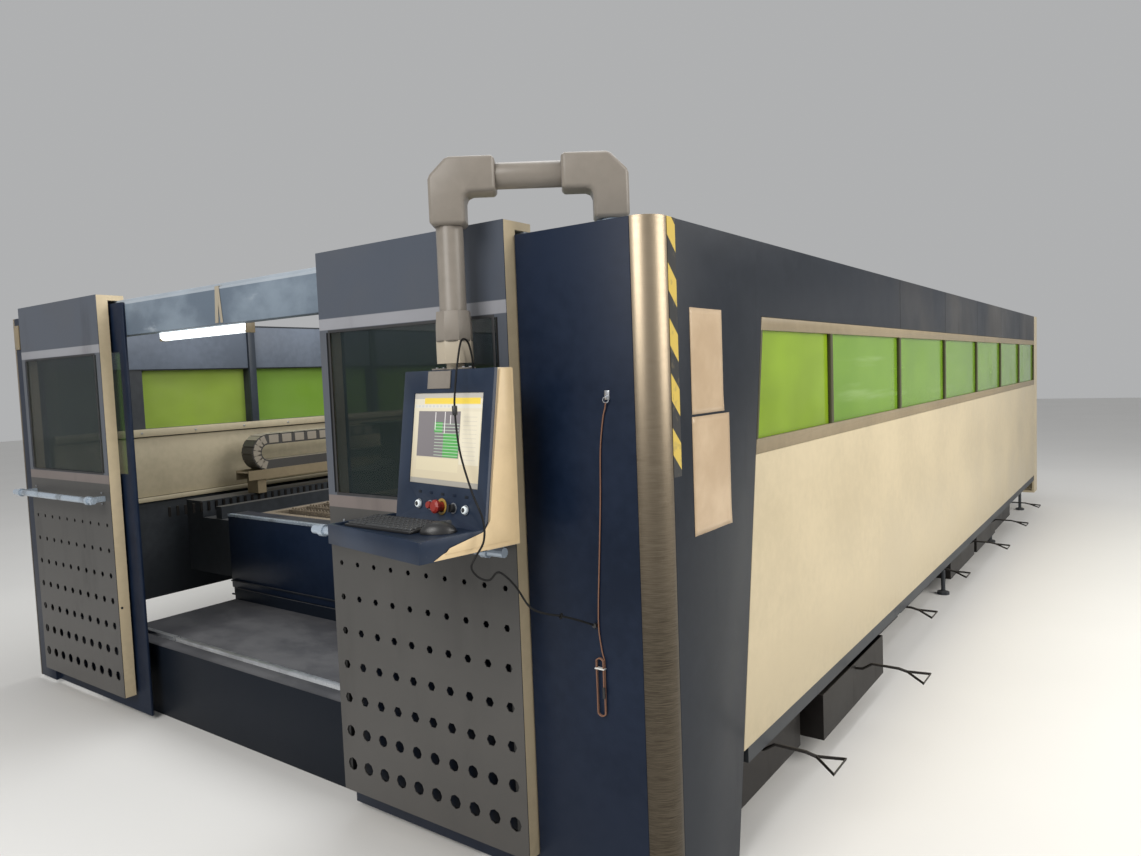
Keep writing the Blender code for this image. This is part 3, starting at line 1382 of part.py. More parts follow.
def console_lead():
    """Black lead from the roof of the console, down past its tray and over to the front panel."""
    points = [CONSOLE @ Vector(point) for point in BESIDE_CONSOLE] + [Vector(point) for point in HANGING]
    return bar(flowing(points, LEAD_STEP), CONSOLE_LEAD_RADIUS, resolution=2)


def panel_lead():
    """Thin lead that hangs from its hook on the front panel."""
    return bar(flowing(PANEL_ROUTE, LEAD_STEP), PANEL_LEAD_RADIUS, resolution=2)


def lead_hank():
    """The spare length of the panel's lead, tied in a narrow hank."""
    half = HANK_WIDTH / 2
    steps = 6
    outline = []
    for centre, start in ((HANK_TOP - half, 0.0), (HANK_TOP - HANK_LENGTH + half, math.pi)):
        for step in range(steps + 1):
            angle = start + math.pi * step / steps
            outline.append((HANK_X + half * math.cos(angle), centre + half * math.sin(angle)))
    return prism(outline, "Y", -SEAT - HANK_DEPTH, -SEAT)


part("console_lead", console_lead(), BLACK_PLASTIC)
part("panel_lead", panel_lead(), COPPER)
part("lead_hank", lead_hank(), COPPER)
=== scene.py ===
# %% [markdown]
# This lesson dresses an enclosed fiber laser cutting machine. The machine's solids come first, as a
# fixed frame: every piece made later takes its place from them, so nothing has to be fitted by eye.

# %% Load the frame
import json
import math

import bmesh
import bpy
from mathutils import Matrix, Vector


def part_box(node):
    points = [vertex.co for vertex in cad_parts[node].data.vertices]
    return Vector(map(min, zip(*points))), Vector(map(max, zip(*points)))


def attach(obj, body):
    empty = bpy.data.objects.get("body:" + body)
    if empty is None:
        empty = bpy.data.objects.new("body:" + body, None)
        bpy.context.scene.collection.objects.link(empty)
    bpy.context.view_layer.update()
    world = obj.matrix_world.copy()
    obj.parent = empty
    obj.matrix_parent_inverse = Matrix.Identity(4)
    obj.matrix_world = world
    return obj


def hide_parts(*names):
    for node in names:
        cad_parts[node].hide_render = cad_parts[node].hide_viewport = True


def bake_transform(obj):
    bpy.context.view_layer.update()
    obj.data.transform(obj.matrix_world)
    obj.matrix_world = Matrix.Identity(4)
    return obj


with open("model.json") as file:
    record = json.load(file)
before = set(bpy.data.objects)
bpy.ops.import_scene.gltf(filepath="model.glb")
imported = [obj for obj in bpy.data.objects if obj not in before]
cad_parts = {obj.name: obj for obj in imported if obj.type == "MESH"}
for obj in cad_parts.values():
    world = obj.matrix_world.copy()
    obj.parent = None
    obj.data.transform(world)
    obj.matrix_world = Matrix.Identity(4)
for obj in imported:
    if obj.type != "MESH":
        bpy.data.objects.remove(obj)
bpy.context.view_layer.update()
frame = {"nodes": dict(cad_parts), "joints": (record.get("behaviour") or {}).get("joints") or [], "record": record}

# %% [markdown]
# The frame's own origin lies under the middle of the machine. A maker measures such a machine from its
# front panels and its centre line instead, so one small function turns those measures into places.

nodes = frame["nodes"]
body_of_node = {
    node: body
    for body, members in frame["record"]["behaviour"]["bodies"].items()
    for node in members
}
right_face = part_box("right_end_panel")[1].x
left_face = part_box("left_end_panel")[0].x
origin = Vector(((right_face + left_face) / 2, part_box("right_front_panel")[0].y, 0.0))
side = (right_face - left_face) / 2
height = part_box("right_end_panel")[1].z


def at(x, y, z):
    """A place measured from the machine's centre line, its front panels and the floor."""
    return origin + Vector((x, y, z))


def mark(node, corner):
    """A corner of a node's box, in the machine's own measures."""
    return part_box(node)[corner] - origin


print("side faces at", round(side, 3), "m from the centre line, top at", round(height, 3), "m")

# %% [markdown]
# The photograph was taken standing beside the front right corner, with a wide lens. The camera gets
# that place. Its direction is given by the picture's right and down, because it was held a little askew.

# %% Set up the camera
LENS = 25.94
CAMERA_PLACE = (3.1395, -1.911, 1.5925)
CAMERA_RIGHT = Vector((0.8112, 0.583, -0.038))
CAMERA_DOWN = Vector((0.0071, -0.0748, -0.9972))
camera_data = bpy.data.cameras.new("camera")
camera_data.lens = LENS
camera_data.clip_start = 0.05
camera = bpy.data.objects.new("camera", camera_data)
bpy.context.scene.collection.objects.link(camera)
backward = -CAMERA_RIGHT.cross(CAMERA_DOWN)
turn = Matrix((CAMERA_RIGHT, -CAMERA_DOWN, backward)).transposed().to_quaternion()
camera.rotation_mode = "QUATERNION"
camera.rotation_quaternion = turn
camera.location = at(*CAMERA_PLACE)
bpy.context.scene.camera = camera
print("camera at", [round(value, 2) for value in camera.location])

# %% [markdown]
# Both loose leads are real lengths of cable that hang under their own weight, so they are curves
# through given points. The black one leaves the roof of the console, drops past its tray and
# swings over to the front panel. The brown one hangs on the panel, with its spare length in a hank.

# %% Draw the loose leads
LEAD_WIDTH = 0.006
SEAT = 0.0003
HOUSING_TOP = 1.620
swivel = next(joint for joint in frame["joints"] if joint["name"] == "console_swivel")
drop_axis = Vector((swivel["pos_m"][0], swivel["pos_m"][1], 0.0))
CONSOLE_YAW = math.radians(-10.0)
console_place = Matrix.Translation(drop_axis) @ Matrix.Rotation(CONSOLE_YAW, 4, "Z")
PANEL_LEAD_WIDTH = 0.004
LEAD_POINTS_APART = 0.008
PANEL_POINTS_APART = 0.004
HANK_TOP = 0.780
HANK_LENGTH = 0.170
HANK_RADIUS = 0.0122
HANK_X = 1.838
HANK_TURNS = 2
HANK_PITCH = 0.0042
HANK_OFF_PANEL = 0.0034
BESIDE_CONSOLE = (
    (0.070, 0.010, HOUSING_TOP + SEAT), (0.070, 0.006, 1.660), (0.072, -0.008, 1.698),
    (0.080, -0.036, 1.700), (0.090, -0.060, 1.640), (0.101, -0.080, 1.570), (0.110, -0.092, 1.505),
    (0.142, -0.105, 1.395), (0.196, -0.112, 1.289), (0.240, -0.112, 1.215), (0.252, -0.122, 1.160),
    (0.248, -0.150, 1.120), (0.246, -0.162, 1.095), (0.247, -0.140, 1.066), (0.249, -0.105, 1.052),
    (0.246, -0.070, 1.066),
)
HANGING = (
    (1.694, -0.200, 1.018), (1.716, -0.166, 0.953), (1.740, -0.130, 0.928), (1.766, -0.095, 0.916),
    (1.795, -0.050, 0.896), (1.814, -0.020, 0.880), (1.822, -0.0036, 0.872),
)
FERRITE_AT = 6
HITCH_AT = 3
PANEL_ROUTE = (
    (1.889, -0.0100, 1.512), (1.884, -0.0065, 1.497), (1.874, -0.0045, 1.465), (1.862, -0.0040, 1.379),
    (1.856, -0.0040, 1.237), (1.846, -0.0040, 1.080), (1.836, -0.0040, 0.930), (1.835, -0.0040, 0.860),
    (1.843, -0.0036, 0.800),
)


def flowing(points, spacing):
    """Read points at an even spacing from the smooth curve through the given ones."""
    spots = [Vector(point) for point in points]
    ends = [2 * spots[0] - spots[1]] + spots + [2 * spots[-1] - spots[-2]]
    fine = []
    steps = 16
    for before, start, end, after in zip(ends, ends[1:], ends[2:], ends[3:]):
        for step in range(steps):
            t = step / steps
            fine.append(0.5 * (
                2 * start + (end - before) * t
                + (2 * before - 5 * start + 4 * end - after) * t ** 2
                + (3 * start - before - 3 * end + after) * t ** 3
            ))
    fine.append(spots[-1])
    lengths = [0.0]
    for start, end in zip(fine, fine[1:]):
        lengths.append(lengths[-1] + (end - start).length)
    count = max(2, round(lengths[-1] / spacing))
    path = []
    place = 0
    for number in range(count + 1):
        wanted = lengths[-1] * number / count
        while place < len(fine) - 2 and lengths[place + 1] < wanted:
            place += 1
        share = (wanted - lengths[place]) / (lengths[place + 1] - lengths[place])
        path.append(fine[place].lerp(fine[place + 1], share))
    return path, lengths[-1]


def hank():
    """The turns of the tied hank: down one side, round the foot, up the other and over."""
    top = HANK_TOP - HANK_RADIUS
    foot = HANK_TOP - HANK_LENGTH + HANK_RADIUS
    middle = (top + foot) / 2
    arc = 6
    turn = [(HANK_RADIUS, top), (HANK_RADIUS, middle)]
    for step in range(arc + 1):
        angle = -math.pi * step / arc
        turn.append((HANK_RADIUS * math.cos(angle), foot + HANK_RADIUS * math.sin(angle)))
    turn.append((-HANK_RADIUS, middle))
    for step in range(arc):
        angle = math.pi - math.pi * step / arc
        turn.append((HANK_RADIUS * math.cos(angle), top + HANK_RADIUS * math.sin(angle)))
    points = []
    for number in range(HANK_TURNS):
        for step, (across, up) in enumerate(turn):
            depth = -HANK_OFF_PANEL - HANK_PITCH * (number + step / len(turn))
            points.append((HANK_X + across, depth, up))
    depth = -HANK_OFF_PANEL - HANK_PITCH * HANK_TURNS
    points += [(HANK_X + HANK_RADIUS, depth, top), (HANK_X + HANK_RADIUS, depth, middle)]
    return points


def lead(name, path, width):
    """A round cable along a path, as a curve of one open spline."""
    curve = bpy.data.curves.new(name, "CURVE")
    curve.dimensions = "3D"
    curve.bevel_depth = width / 2
    curve.bevel_resolution = 3
    curve.use_fill_caps = True
    spline = curve.splines.new("POLY")
    spline.points.add(len(path) - 1)
    for spot, point in zip(spline.points, path):
        spot.co = (*point, 1.0)
    cable = bpy.data.objects.new(name, curve)
    bpy.context.scene.collection.objects.link(cable)
    return cable


console_points = [console_place @ Vector(point) for point in BESIDE_CONSOLE]
console_points += [at(*point) for point in HANGING]
whole_path, whole_length = flowing(console_points, LEAD_POINTS_APART)
hitch_spot = at(*HANGING[HITCH_AT])
hitch_step = min(range(len(whole_path)), key=lambda step: (whole_path[step] - hitch_spot).length)
console_path = whole_path[:hitch_step + 1]
tail_path = whole_path[hitch_step:]
console_cable = lead("black_lead", console_path, LEAD_WIDTH)
tail_cable = lead("black_lead_tail", tail_path, LEAD_WIDTH)
panel_points = [at(*point) for point in PANEL_ROUTE + tuple(hank())]
panel_path, panel_length = flowing(panel_points, PANEL_POINTS_APART)
panel_cable = lead("brown_lead", panel_path, PANEL_LEAD_WIDTH)
print("black lead", round(whole_length, 3), "m, brown lead", round(panel_length, 3), "m")

# %% [markdown]
# A cable that is only a tube looks unfinished, so the black lead gets its ferrite bead. It has to follow
# the console, the arm and the panel, and a cord can bend between two bodies only. So it is two lengths,
# and a small hitch on the arm hides where they meet.

FERRITE_HALF = 0.013
FERRITE_RADIUS = 0.0075
FERRITE_ALONG = Vector((0.02, -0.0133, -0.11))
ferrite_place = console_place @ Matrix.Translation(BESIDE_CONSOLE[FERRITE_AT])


def deselect():
    """Let go of everything, so that an operator acts on one piece alone."""
    if bpy.context.object and bpy.context.object.mode != "OBJECT":
        bpy.ops.object.mode_set(mode="OBJECT")
    bpy.ops.object.select_all(action="DESELECT")


def settled(name):
    """Name the piece just made and put its place into its mesh."""
    piece = bpy.context.object
    piece.name = name
    bpy.ops.object.transform_apply(location=True, rotation=True, scale=True)
    return piece


def pick(piece, wanted):
    """In edit mode, select just the faces for which the test holds."""
    bpy.ops.mesh.select_mode(type="FACE")
    bpy.ops.mesh.select_all(action="DESELECT")
    shape = bmesh.from_edit_mesh(piece.data)
    for face in shape.faces:
        if wanted(face):
            face.select_set(True)
    bmesh.update_edit_mesh(piece.data)


def round_bar(name, start, end, radius, sides=24, chamfer=0.0):
    """A round bar between two places, its end edges chamfered."""
    deselect()
    along = Vector(end) - Vector(start)
    turned_to = Vector((0, 0, 1)).rotation_difference(along).to_euler()
    bpy.ops.mesh.primitive_cylinder_add(
        vertices=sides, radius=radius, depth=along.length, location=(Vector(start) + Vector(end)) / 2,
        rotation=turned_to,
    )
    piece = settled(name)
    if chamfer:
        chamfered(piece, chamfer)
    return piece


def chamfered(piece, width, segments=2):
    """Round a piece's sharp edges off with an applied Bevel modifier."""
    deselect()
    piece.select_set(True)
    bpy.context.view_layer.objects.active = piece
    edge = piece.modifiers.new("edge", "BEVEL")
    edge.width = width
    edge.segments = segments
    edge.limit_method = "ANGLE"
    edge.angle_limit = math.radians(30.0)
    edge.use_clamp_overlap = True
    bpy.ops.object.modifier_apply(modifier=edge.name)
    bpy.ops.object.shade_smooth_by_angle(angle=math.radians(40.0))
    return piece


def slab(name, low, high, chamfer=0.0, segments=2):
    """A plate or block between two corners, its edges chamfered."""
    deselect()
    low = Vector(low)
    high = Vector(high)
    bpy.ops.mesh.primitive_cube_add(size=1.0, location=(low + high) / 2, scale=high - low)
    piece = settled(name)
    if chamfer:
        chamfered(piece, chamfer, segments)
    return piece


def torus(name, radii, steps, place=(0, 0, 0), turned=(0, 0, 0)):
    """A ring of round section: its two radii and its steps round each."""
    deselect()
    bpy.ops.mesh.primitive_torus_add(
        major_radius=radii[0], minor_radius=radii[1], major_segments=steps[0], minor_segments=steps[1],
        location=place, rotation=turned,
    )
    return settled(name)


ferrite = round_bar(
    "lead_ferrite", (0, 0, -FERRITE_HALF), (0, 0, FERRITE_HALF), FERRITE_RADIUS, 24, 0.002,
)
ferrite_lean = FERRITE_ALONG.rotation_difference(Vector((0, 0, -1))).to_matrix().to_4x4()
ferrite.data.transform(ferrite_place @ ferrite_lean.inverted())
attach(ferrite, "console")
hitch_way = (tail_path[1] - tail_path[0]).to_track_quat("Z", "Y").to_matrix().to_4x4()
hitch = torus("lead_hitch", (0.0062, 0.0030), (20, 10))
hitch.data.transform(Matrix.Translation(tail_path[0]) @ hitch_way)
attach(hitch, "arm")


def length_of(path):
    """How long a path is, from point to point."""
    return sum((second - first).length for first, second in zip(path, path[1:]))


def declared(cable, path, bodies):
    """Turn a lead into a mesh and say how long it is."""
    deselect()
    cable.select_set(True)
    bpy.context.view_layer.objects.active = cable
    bpy.ops.object.convert(target="MESH")
    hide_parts("console_lead")
    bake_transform(cable)
    round(length_of(path), 3)
    print(cable.name, round(length_of(path), 3), "m, between", " and ".join(bodies))


declared(
    console_cable, console_path, ("console", "arm"),
)
declared(tail_cable, tail_path, ("arm", "root"))

# %% [markdown]
# The brown lead hangs from a steel eye on the panel. A tie holds its hank, and its free end is in a
# small connector that lies against the turns.

# %% Finish the hanging lead
TIE_HALF = 0.0158
EYE_X = 1.889
STUD_Z = 1.5275
connector_top = panel_path[-1]
connector = round_bar(
    "lead_connector", connector_top + Vector((0, 0, 0.003)), connector_top - Vector((0, 0, 0.030)), 0.0042,
    16, 0.001,
)
tie = slab("hank_tie", at(HANK_X - TIE_HALF, -0.0150, 0.748), at(HANK_X + TIE_HALF, -0.0006, 0.752), 0.0012)
eye = torus(
    "lead_eye", (0.008, 0.0012), (32, 10), at(EYE_X, -0.0100, 1.5190),
    (math.radians(90.0), 0.0, math.radians(24.0)),
)
eye_plate = slab(
    "lead_eye_plate", at(EYE_X - 0.008, -0.0034, 1.519), at(EYE_X + 0.008, -0.0002, 1.545), 0.0008,
)
eye_stud = round_bar("lead_eye_stud", at(EYE_X, -0.0105, STUD_Z), at(EYE_X, -0.0004, STUD_Z), 0.0035, 16)
chamfered(eye_stud, 0.0008)
for piece, finish_slot in (
    (connector, "black_plastic"), (tie, "white_plastic"), (eye, "bare_steel"), (eye_plate, "bare_steel"),
    (eye_stud, "bare_steel"), (panel_cable, "lead_brown"),
):
    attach(piece, "root")
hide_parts("panel_lead", "lead_hank")
print("brown lead with", HANK_TURNS, "turns in its hank")

# %% [markdown]
# Every surface of the machine gets a finish with its own grain, wear and dirt. Shader maths soon grows
# into dozens of nodes, so one small class wraps a socket and lets the maths be written as it is on
# paper. A second class holds one material and adds any other node from its settings and values.

# %% Make finishes easy to write
class Term:
    """A number that changes over a surface. Sums and products on it add the Math nodes they need."""

    def __init__(self, finish, socket):
        self.finish = finish
        self.socket = socket

    def __add__(self, other):
        return self.finish.maths("ADD", self, other)

    def __sub__(self, other):
        return self.finish.maths("SUBTRACT", self, other)

    def __rsub__(self, other):
        return self.finish.maths("SUBTRACT", other, self)

    def __mul__(self, other):
        return self.finish.maths("MULTIPLY", self, other)

    def __truediv__(self, other):
        return self.finish.maths("DIVIDE", self, other)

    def __abs__(self):
        return self.finish.maths("ABSOLUTE", self)

    def __mod__(self, other):
        return self.finish.maths("FLOORED_MODULO", self, other)

    __radd__ = __add__
    __rmul__ = __mul__


class Finish:
    """A material, with x, y and z as the machine's own measures."""

    def __init__(self, name, **shader_values):
        self.material = bpy.data.materials.new(name)
        self.material.use_nodes = True
        self.tree = self.material.node_tree
        self.shader = self.tree.nodes["Principled BSDF"]
        self.coordinates = self.node("TexCoord")
        place = self.node("SeparateXYZ", values={0: self.coordinates.outputs["Object"]})
        self.x = Term(self, place.outputs["X"]) - origin.x
        self.y = Term(self, place.outputs["Y"]) - origin.y
        self.z = Term(self, place.outputs["Z"])
        self.bumps = None
        self.set(**shader_values)

    def set(self, **shader_values):
        """Give the shader values that are the same all over, by their sockets' names."""
        for word, value in shader_values.items():
            socket = word.replace("_", " ").title().replace("Ior", "IOR")
            self.shader.inputs[socket].default_value = value

    def node(self, kind, settings=None, values=None):
        """Add a node: its settings first, then the values or links of its sockets."""
        made = self.tree.nodes.new("ShaderNode" + kind)
        for name, setting in (settings or {}).items():
            setattr(made, name, setting)
        for name, value in (values or {}).items():
            self.feed(made.inputs[name], value)
        return made

    def feed(self, socket, value):
        """Give a socket a value, or link what changes over the surface to it."""
        if isinstance(value, Term):
            value = value.socket
        if isinstance(value, bpy.types.NodeSocket):
            self.tree.links.new(value, socket)
        elif socket.type == "RGBA" and len(value) == 3:
            socket.default_value = (*value, 1.0)
        else:
            socket.default_value = value

    def maths(self, operation, *values):
        """One Math node as a Term."""
        made = self.node("Math", {"operation": operation}, dict(enumerate(values)))
        return Term(self, made.outputs[0])

    def noise(self, scale, detail=4.0, stretch=(1.0, 1.0, 1.0), offset=0.0, roughness=0.55):
        """Cloudy noise from 0 to 1, stretched along an axis where the stretch is small."""
        mapping = self.node("Mapping", values={
            "Vector": self.coordinates.outputs["Object"], "Scale": stretch, "Location": (offset,) * 3,
        })
        made = self.node("TexNoise", values={
            "Vector": mapping.outputs[0], "Scale": scale, "Detail": detail, "Roughness": roughness,
        })
        return Term(self, made.outputs["Fac"])

    def cells(self, scale):
        """Distance to the nearest of scattered points, for specks."""
        values = {"Vector": self.coordinates.outputs["Object"], "Scale": scale}
        return Term(self, self.node("TexVoronoi", values=values).outputs["Distance"])

    def plane_of(self, place):
        """Across and along a turned place's own plane: a Mapping node turns the surface back first."""
        back = place.inverted()
        mapping = self.node("Mapping", values={
            "Vector": self.coordinates.outputs["Object"], "Rotation": back.to_euler(),
            "Location": back.translation,
        })
        axes = self.node("SeparateXYZ", values={0: mapping.outputs[0]})
        return Term(self, axes.outputs["X"]), Term(self, axes.outputs["Y"])

    def between(self, value, low, high):
        """Rises smoothly from 0 at low to 1 at high."""
        made = self.node("MapRange", {"interpolation_type": "SMOOTHSTEP"}, {
            "Value": value, "From Min": low, "From Max": high,
        })
        return Term(self, made.outputs[0])

    def within(self, value, low, high, soft=0.001):
        """1 between two values and 0 outside, with a soft edge."""
        past = self.between(value, high - soft, high + soft)
        return self.between(value, low - soft, low + soft) * (1.0 - past)

    def mixed(self, factor, first, second):
        """The first colour where the factor is 0 and the second where it is 1."""
        made = self.node("Mix", {"data_type": "RGBA"}, {0: factor, 6: first, 7: second})
        return made.outputs[2]

    def upward(self):
        """1 on faces that look up and 0 on the others."""
        return self.facing("Z", 1.0)

    def facing(self, axis, sign):
        """1 on faces that look along an axis, in the direction that the sign gives."""
        looking = self.node("SeparateXYZ", values={0: self.coordinates.outputs["Normal"]})
        return self.between(Term(self, looking.outputs[axis]) * sign, 0.6, 0.95)

    def colour(self, value):
        self.feed(self.shader.inputs["Base Color"], value)

    def tint(self, mask, colour):
        """Lay a colour over what the surface already has, where the mask is 1."""
        painted_so_far = self.shader.inputs["Base Color"].links[0].from_socket
        self.colour(self.mixed(mask, painted_so_far, colour))

    def roughness(self, value):
        self.feed(self.shader.inputs["Roughness"], value)

    def metallic(self, value):
        self.feed(self.shader.inputs["Metallic"], value)

    def relief(self, height, distance, strength=1.0):
        """Raise the surface by a height from 0 to 1, in metres at 1."""
        values = {"Height": height, "Distance": distance, "Strength": strength}
        if self.bumps:
            values["Normal"] = self.bumps
        self.bumps = self.node("Bump", values=values).outputs[0]
        self.feed(self.shader.inputs["Normal"], self.bumps)


print("finish maker ready")

# %% [markdown]
# Most of the machine is folded sheet with a baked paint. Such paint is never quite even: it has a
# faint orange peel, it is cleaner in the middle of a panel than near the floor, and it holds dust and
# rubbed marks. One function writes that, and each paint only says how much of each it has.

# %% Mix the paints
DUST = (0.24, 0.22, 0.19)


def painted(
    name, colour, rough=0.42, cloud=0.12, dust=0.15, scuffs=0.3, peel=0.00012, low_dirt=0.35, gloss=0.3,
):
    """Baked paint with clouds, dust on level faces, dirt near the floor and rubbed streaks."""
    paint = Finish(name, specular_ior_level=gloss)
    clouds = paint.noise(1.7, 5.0)
    fine = paint.noise(26.0, 3.0, offset=3.0)
    streaks = paint.between(paint.noise(9.0, 4.0, (1.0, 1.0, 0.12), 7.0), 0.60, 0.78)
    dark = tuple(value * (1.0 - 1.6 * cloud) for value in colour)
    pale = tuple(min(1.0, value * (1.0 + cloud) + 0.004) for value in colour)
    tone = paint.mixed(paint.between(clouds * 0.7 + fine * 0.3, 0.34, 0.66), dark, pale)
    settled_dust = paint.between(paint.noise(2.2, 8.0, offset=11.0), 0.30, 0.75) * 0.5 + 0.3
    tone = paint.mixed(paint.upward() * settled_dust * dust, tone, DUST)
    dirt = (1.0 - paint.between(paint.z, 0.20, 0.75)) * paint.between(fine + clouds, 0.75, 1.25) * low_dirt
    tone = paint.mixed(dirt, tone, tuple(value * 0.45 + 0.005 for value in colour))
    tone = paint.mixed(streaks * scuffs * 0.35, tone, tuple(value * 0.8 + 0.025 for value in colour))
    paint.colour(tone)
    paint.roughness(paint.between(clouds, 0.2, 0.8) * 0.14 + streaks * 0.12 + (rough - 0.07))
    paint.relief(paint.noise(320.0, 2.0), peel)
    paint.relief(paint.noise(2.2, 2.0, offset=5.0), 0.0016, 0.35)
    return paint


NAVY = (0.0052, 0.0120, 0.0300)
SLATE = (0.0100, 0.0140, 0.0215)
CREAM = (0.52, 0.44, 0.295)
navy_paint = painted("navy paint", NAVY, 0.38, 0.14, 0.30, 0.30, 0.00012, 0.2, 0.16)
slate_paint = painted("slate paint", SLATE, 0.40, 0.10, 0.30, 0.25, 0.00012, 0.2, 0.20)
cream_paint = painted("cream paint", CREAM, 0.40, 0.05, 0.20, 0.25)
window_paint = painted("window frame paint", (0.255, 0.205, 0.130), 0.42, 0.08, 0.25, 0.3)
SILL_DEPTH = 0.049
STRIP_DEPTH = 0.044
opening_low = mark("right_window_frame", 0).z + SILL_DEPTH
opening_high = mark("right_window_frame", 1).z - STRIP_DEPTH
beside_panes = window_paint.within(window_paint.z, opening_low, opening_high)
window_paint.tint(beside_panes * 0.9, (0.040, 0.042, 0.016))
arm_paint = painted("arm paint", (0.215, 0.192, 0.165), 0.34, 0.06, 0.20, 0.4, 0.00018, 0.0)
frame_paint = painted("frame paint", (0.034, 0.039, 0.046), 0.5, 0.15, 0.35, 0.5)
print("paints:", [paint.material.name for paint in (navy_paint, slate_paint, cream_paint)])

# %% [markdown]
# The fascia over the panes is made of sheets that butt together, at the same pitch as the mullions under
# them. A butt joint is too fine to model, so the paint draws it as a dark, sunken line above the strip.

# %% Draw the fascia's butt joints
MULLION_PITCH = 1.074
SEAM_WIDTH = 0.010
SEAM_COUNT = 5
seam_top = height + 0.01
seam_bottom = mark("right_window_frame", 1).z
seam_back = mark("right_end_panel", 1).y
above_strip = slate_paint.within(slate_paint.z, seam_bottom, seam_top)
seams = [seam_back - MULLION_PITCH * number for number in range(1, SEAM_COUNT + 1)]
butt_joints = above_strip * sum(
    slate_paint.within(slate_paint.y, seam - SEAM_WIDTH / 2, seam + SEAM_WIDTH / 2, 0.002) for seam in seams
)
slate_paint.tint(butt_joints, (0.002, 0.002, 0.003))
slate_paint.relief(1.0 - butt_joints, 0.006)
# Between 1.4 and 3.6 m along, the fascia above the strip gets pale warm mottled patches: a painted reflection, a
# warm sheen of light on the dark paint.
rub_and_sheen = slate_paint.between(slate_paint.noise(2.4, 6.0, (1.0, 0.6, 0.35), 17.0), 0.42, 0.72) * above_strip
rub_and_sheen = rub_and_sheen * slate_paint.between(slate_paint.y, 1.4, 3.6)
slate_paint.tint(rub_and_sheen * 0.5, (0.075, 0.066, 0.055))
print(SEAM_COUNT, "butt joints, the first at", round(seams[0], 3), "m")

# %% [markdown]
# The corner columns are brushed stainless steel. Brushing leaves fine level lines round the curve, so
# the grain is noise that is squeezed in height and stretched along the sheet.

# %% Brush the corner columns
brushed = Finish("brushed steel", metallic=0.88)
lines = brushed.noise(42.0, 5.0, (0.5, 0.5, 26.0))
haze = brushed.noise(2.2, 4.0, (1.0, 1.0, 0.4), 2.0)
height_shade = brushed.between(brushed.z, 0.75, 2.0)
tone = brushed.mixed(height_shade, (0.050, 0.040, 0.028), (0.36, 0.29, 0.205))
tone = brushed.mixed(brushed.between(lines, 0.35, 0.68) * 0.30, tone, (0.30, 0.26, 0.20))
tone = brushed.mixed(brushed.between(haze, 0.52, 0.72) * 0.4, tone, (0.10, 0.082, 0.060))
brushed.colour(tone)
brushed.roughness(brushed.between(lines, 0.3, 0.7) * 0.16 + haze * 0.12 + 0.26)
brushed.relief(lines, 0.00012)
print("brushed steel ready")

# %% [markdown]
# The perforated door skins carry five bands of paint: a blue-grey header, a pale strip over the window,
# a dark blue-grey beside it, a warm strip under it, and grey over the holes. The bands follow height, so
# the finish reads z. Smears run down the skin, and dirt has settled towards the bottom.

# %% Paint the door skins
LEAF_TOP = mark("right_door_skin", 1).z
WINDOW_TOP = mark("right_door_window", 1).z
WINDOW_BOTTOM = mark("right_door_window", 0).z
STRIP_TOP = WINDOW_TOP + 0.039
BAND_BOTTOM = WINDOW_BOTTOM - 0.042


def banded(paint, parts):
    """Colours stacked by height, each from its own low edge upwards."""
    tone = parts[0][1]
    for edge, colour in parts[1:]:
        tone = paint.mixed(paint.between(paint.z, edge - 0.0015, edge + 0.0015), tone, colour)
    return tone


door_grey = Finish("door skin paint")
bands = banded(door_grey, (
    (0.0, (0.054, 0.052, 0.049)), (BAND_BOTTOM, (0.165, 0.138, 0.128)),
    (WINDOW_BOTTOM, (0.075, 0.085, 0.105)), (WINDOW_TOP, (0.27, 0.275, 0.30)),
    (STRIP_TOP, (0.062, 0.074, 0.098)),
))
clouds = door_grey.noise(2.6, 5.0)
smears = door_grey.between(door_grey.noise(5.0, 5.0, (1.0, 1.0, 0.25), 9.0), 0.50, 0.74)
near_floor = 1.0 - door_grey.between(door_grey.z, 0.15, 0.95)
bands = door_grey.mixed(door_grey.between(clouds, 0.40, 0.70) * 0.18, bands, (0.100, 0.094, 0.087))
bands = door_grey.mixed(smears * 0.28, bands, (0.022, 0.021, 0.020))
bands = door_grey.mixed(near_floor * door_grey.noise(14.0, 4.0) * 0.55, bands, (0.07, 0.062, 0.055))
door_grey.colour(bands)
door_grey.roughness(clouds * 0.20 + smears * 0.10 + 0.28)
door_grey.relief(door_grey.noise(340.0, 2.0), 0.0001)
band_edges = (BAND_BOTTOM, WINDOW_BOTTOM, WINDOW_TOP, STRIP_TOP, LEAF_TOP)
print("bands at", [round(edge, 3) for edge in band_edges])

# %% [markdown]
# Two kinds of sheet close the windows. The long rows are yellow-green laser-safe acrylic that glows with
# the light behind it, so it transmits a part of it. The front has dark glass, which is thin enough to be
# shown by cover alone. A little dust keeps all of them from looking like empty holes.

# %% Cast the window sheets
def sheet_of(name, colour, transmission, rough=0.06, dusty=(0.3, 0.3, 0.2), dust=0.10, cover=1.0):
    """A tinted clear sheet with a film of dust."""
    glass = Finish(
        name, transmission_weight=transmission, ior=1.45, alpha=cover, specular_ior_level=0.35,
    )
    film = glass.between(glass.noise(3.2, 6.0), 0.40, 0.75)
    drips = glass.between(glass.noise(7.0, 4.0, (1.0, 1.0, 0.10), 4.0), 0.55, 0.80)
    deep = glass.between(glass.noise(1.3, 3.0, (1.0, 1.0, 1.6), 2.0), 0.35, 0.68)
    tone = glass.mixed(deep * 0.55, colour, tuple(value * 0.55 for value in colour))
    glass.colour(glass.mixed((film * 0.6 + drips * 0.4) * dust, tone, dusty))
    glass.roughness(film * 0.14 + drips * 0.06 + rough)
    glass.relief(glass.noise(1.6, 2.0), 0.002, 0.25)
    return glass


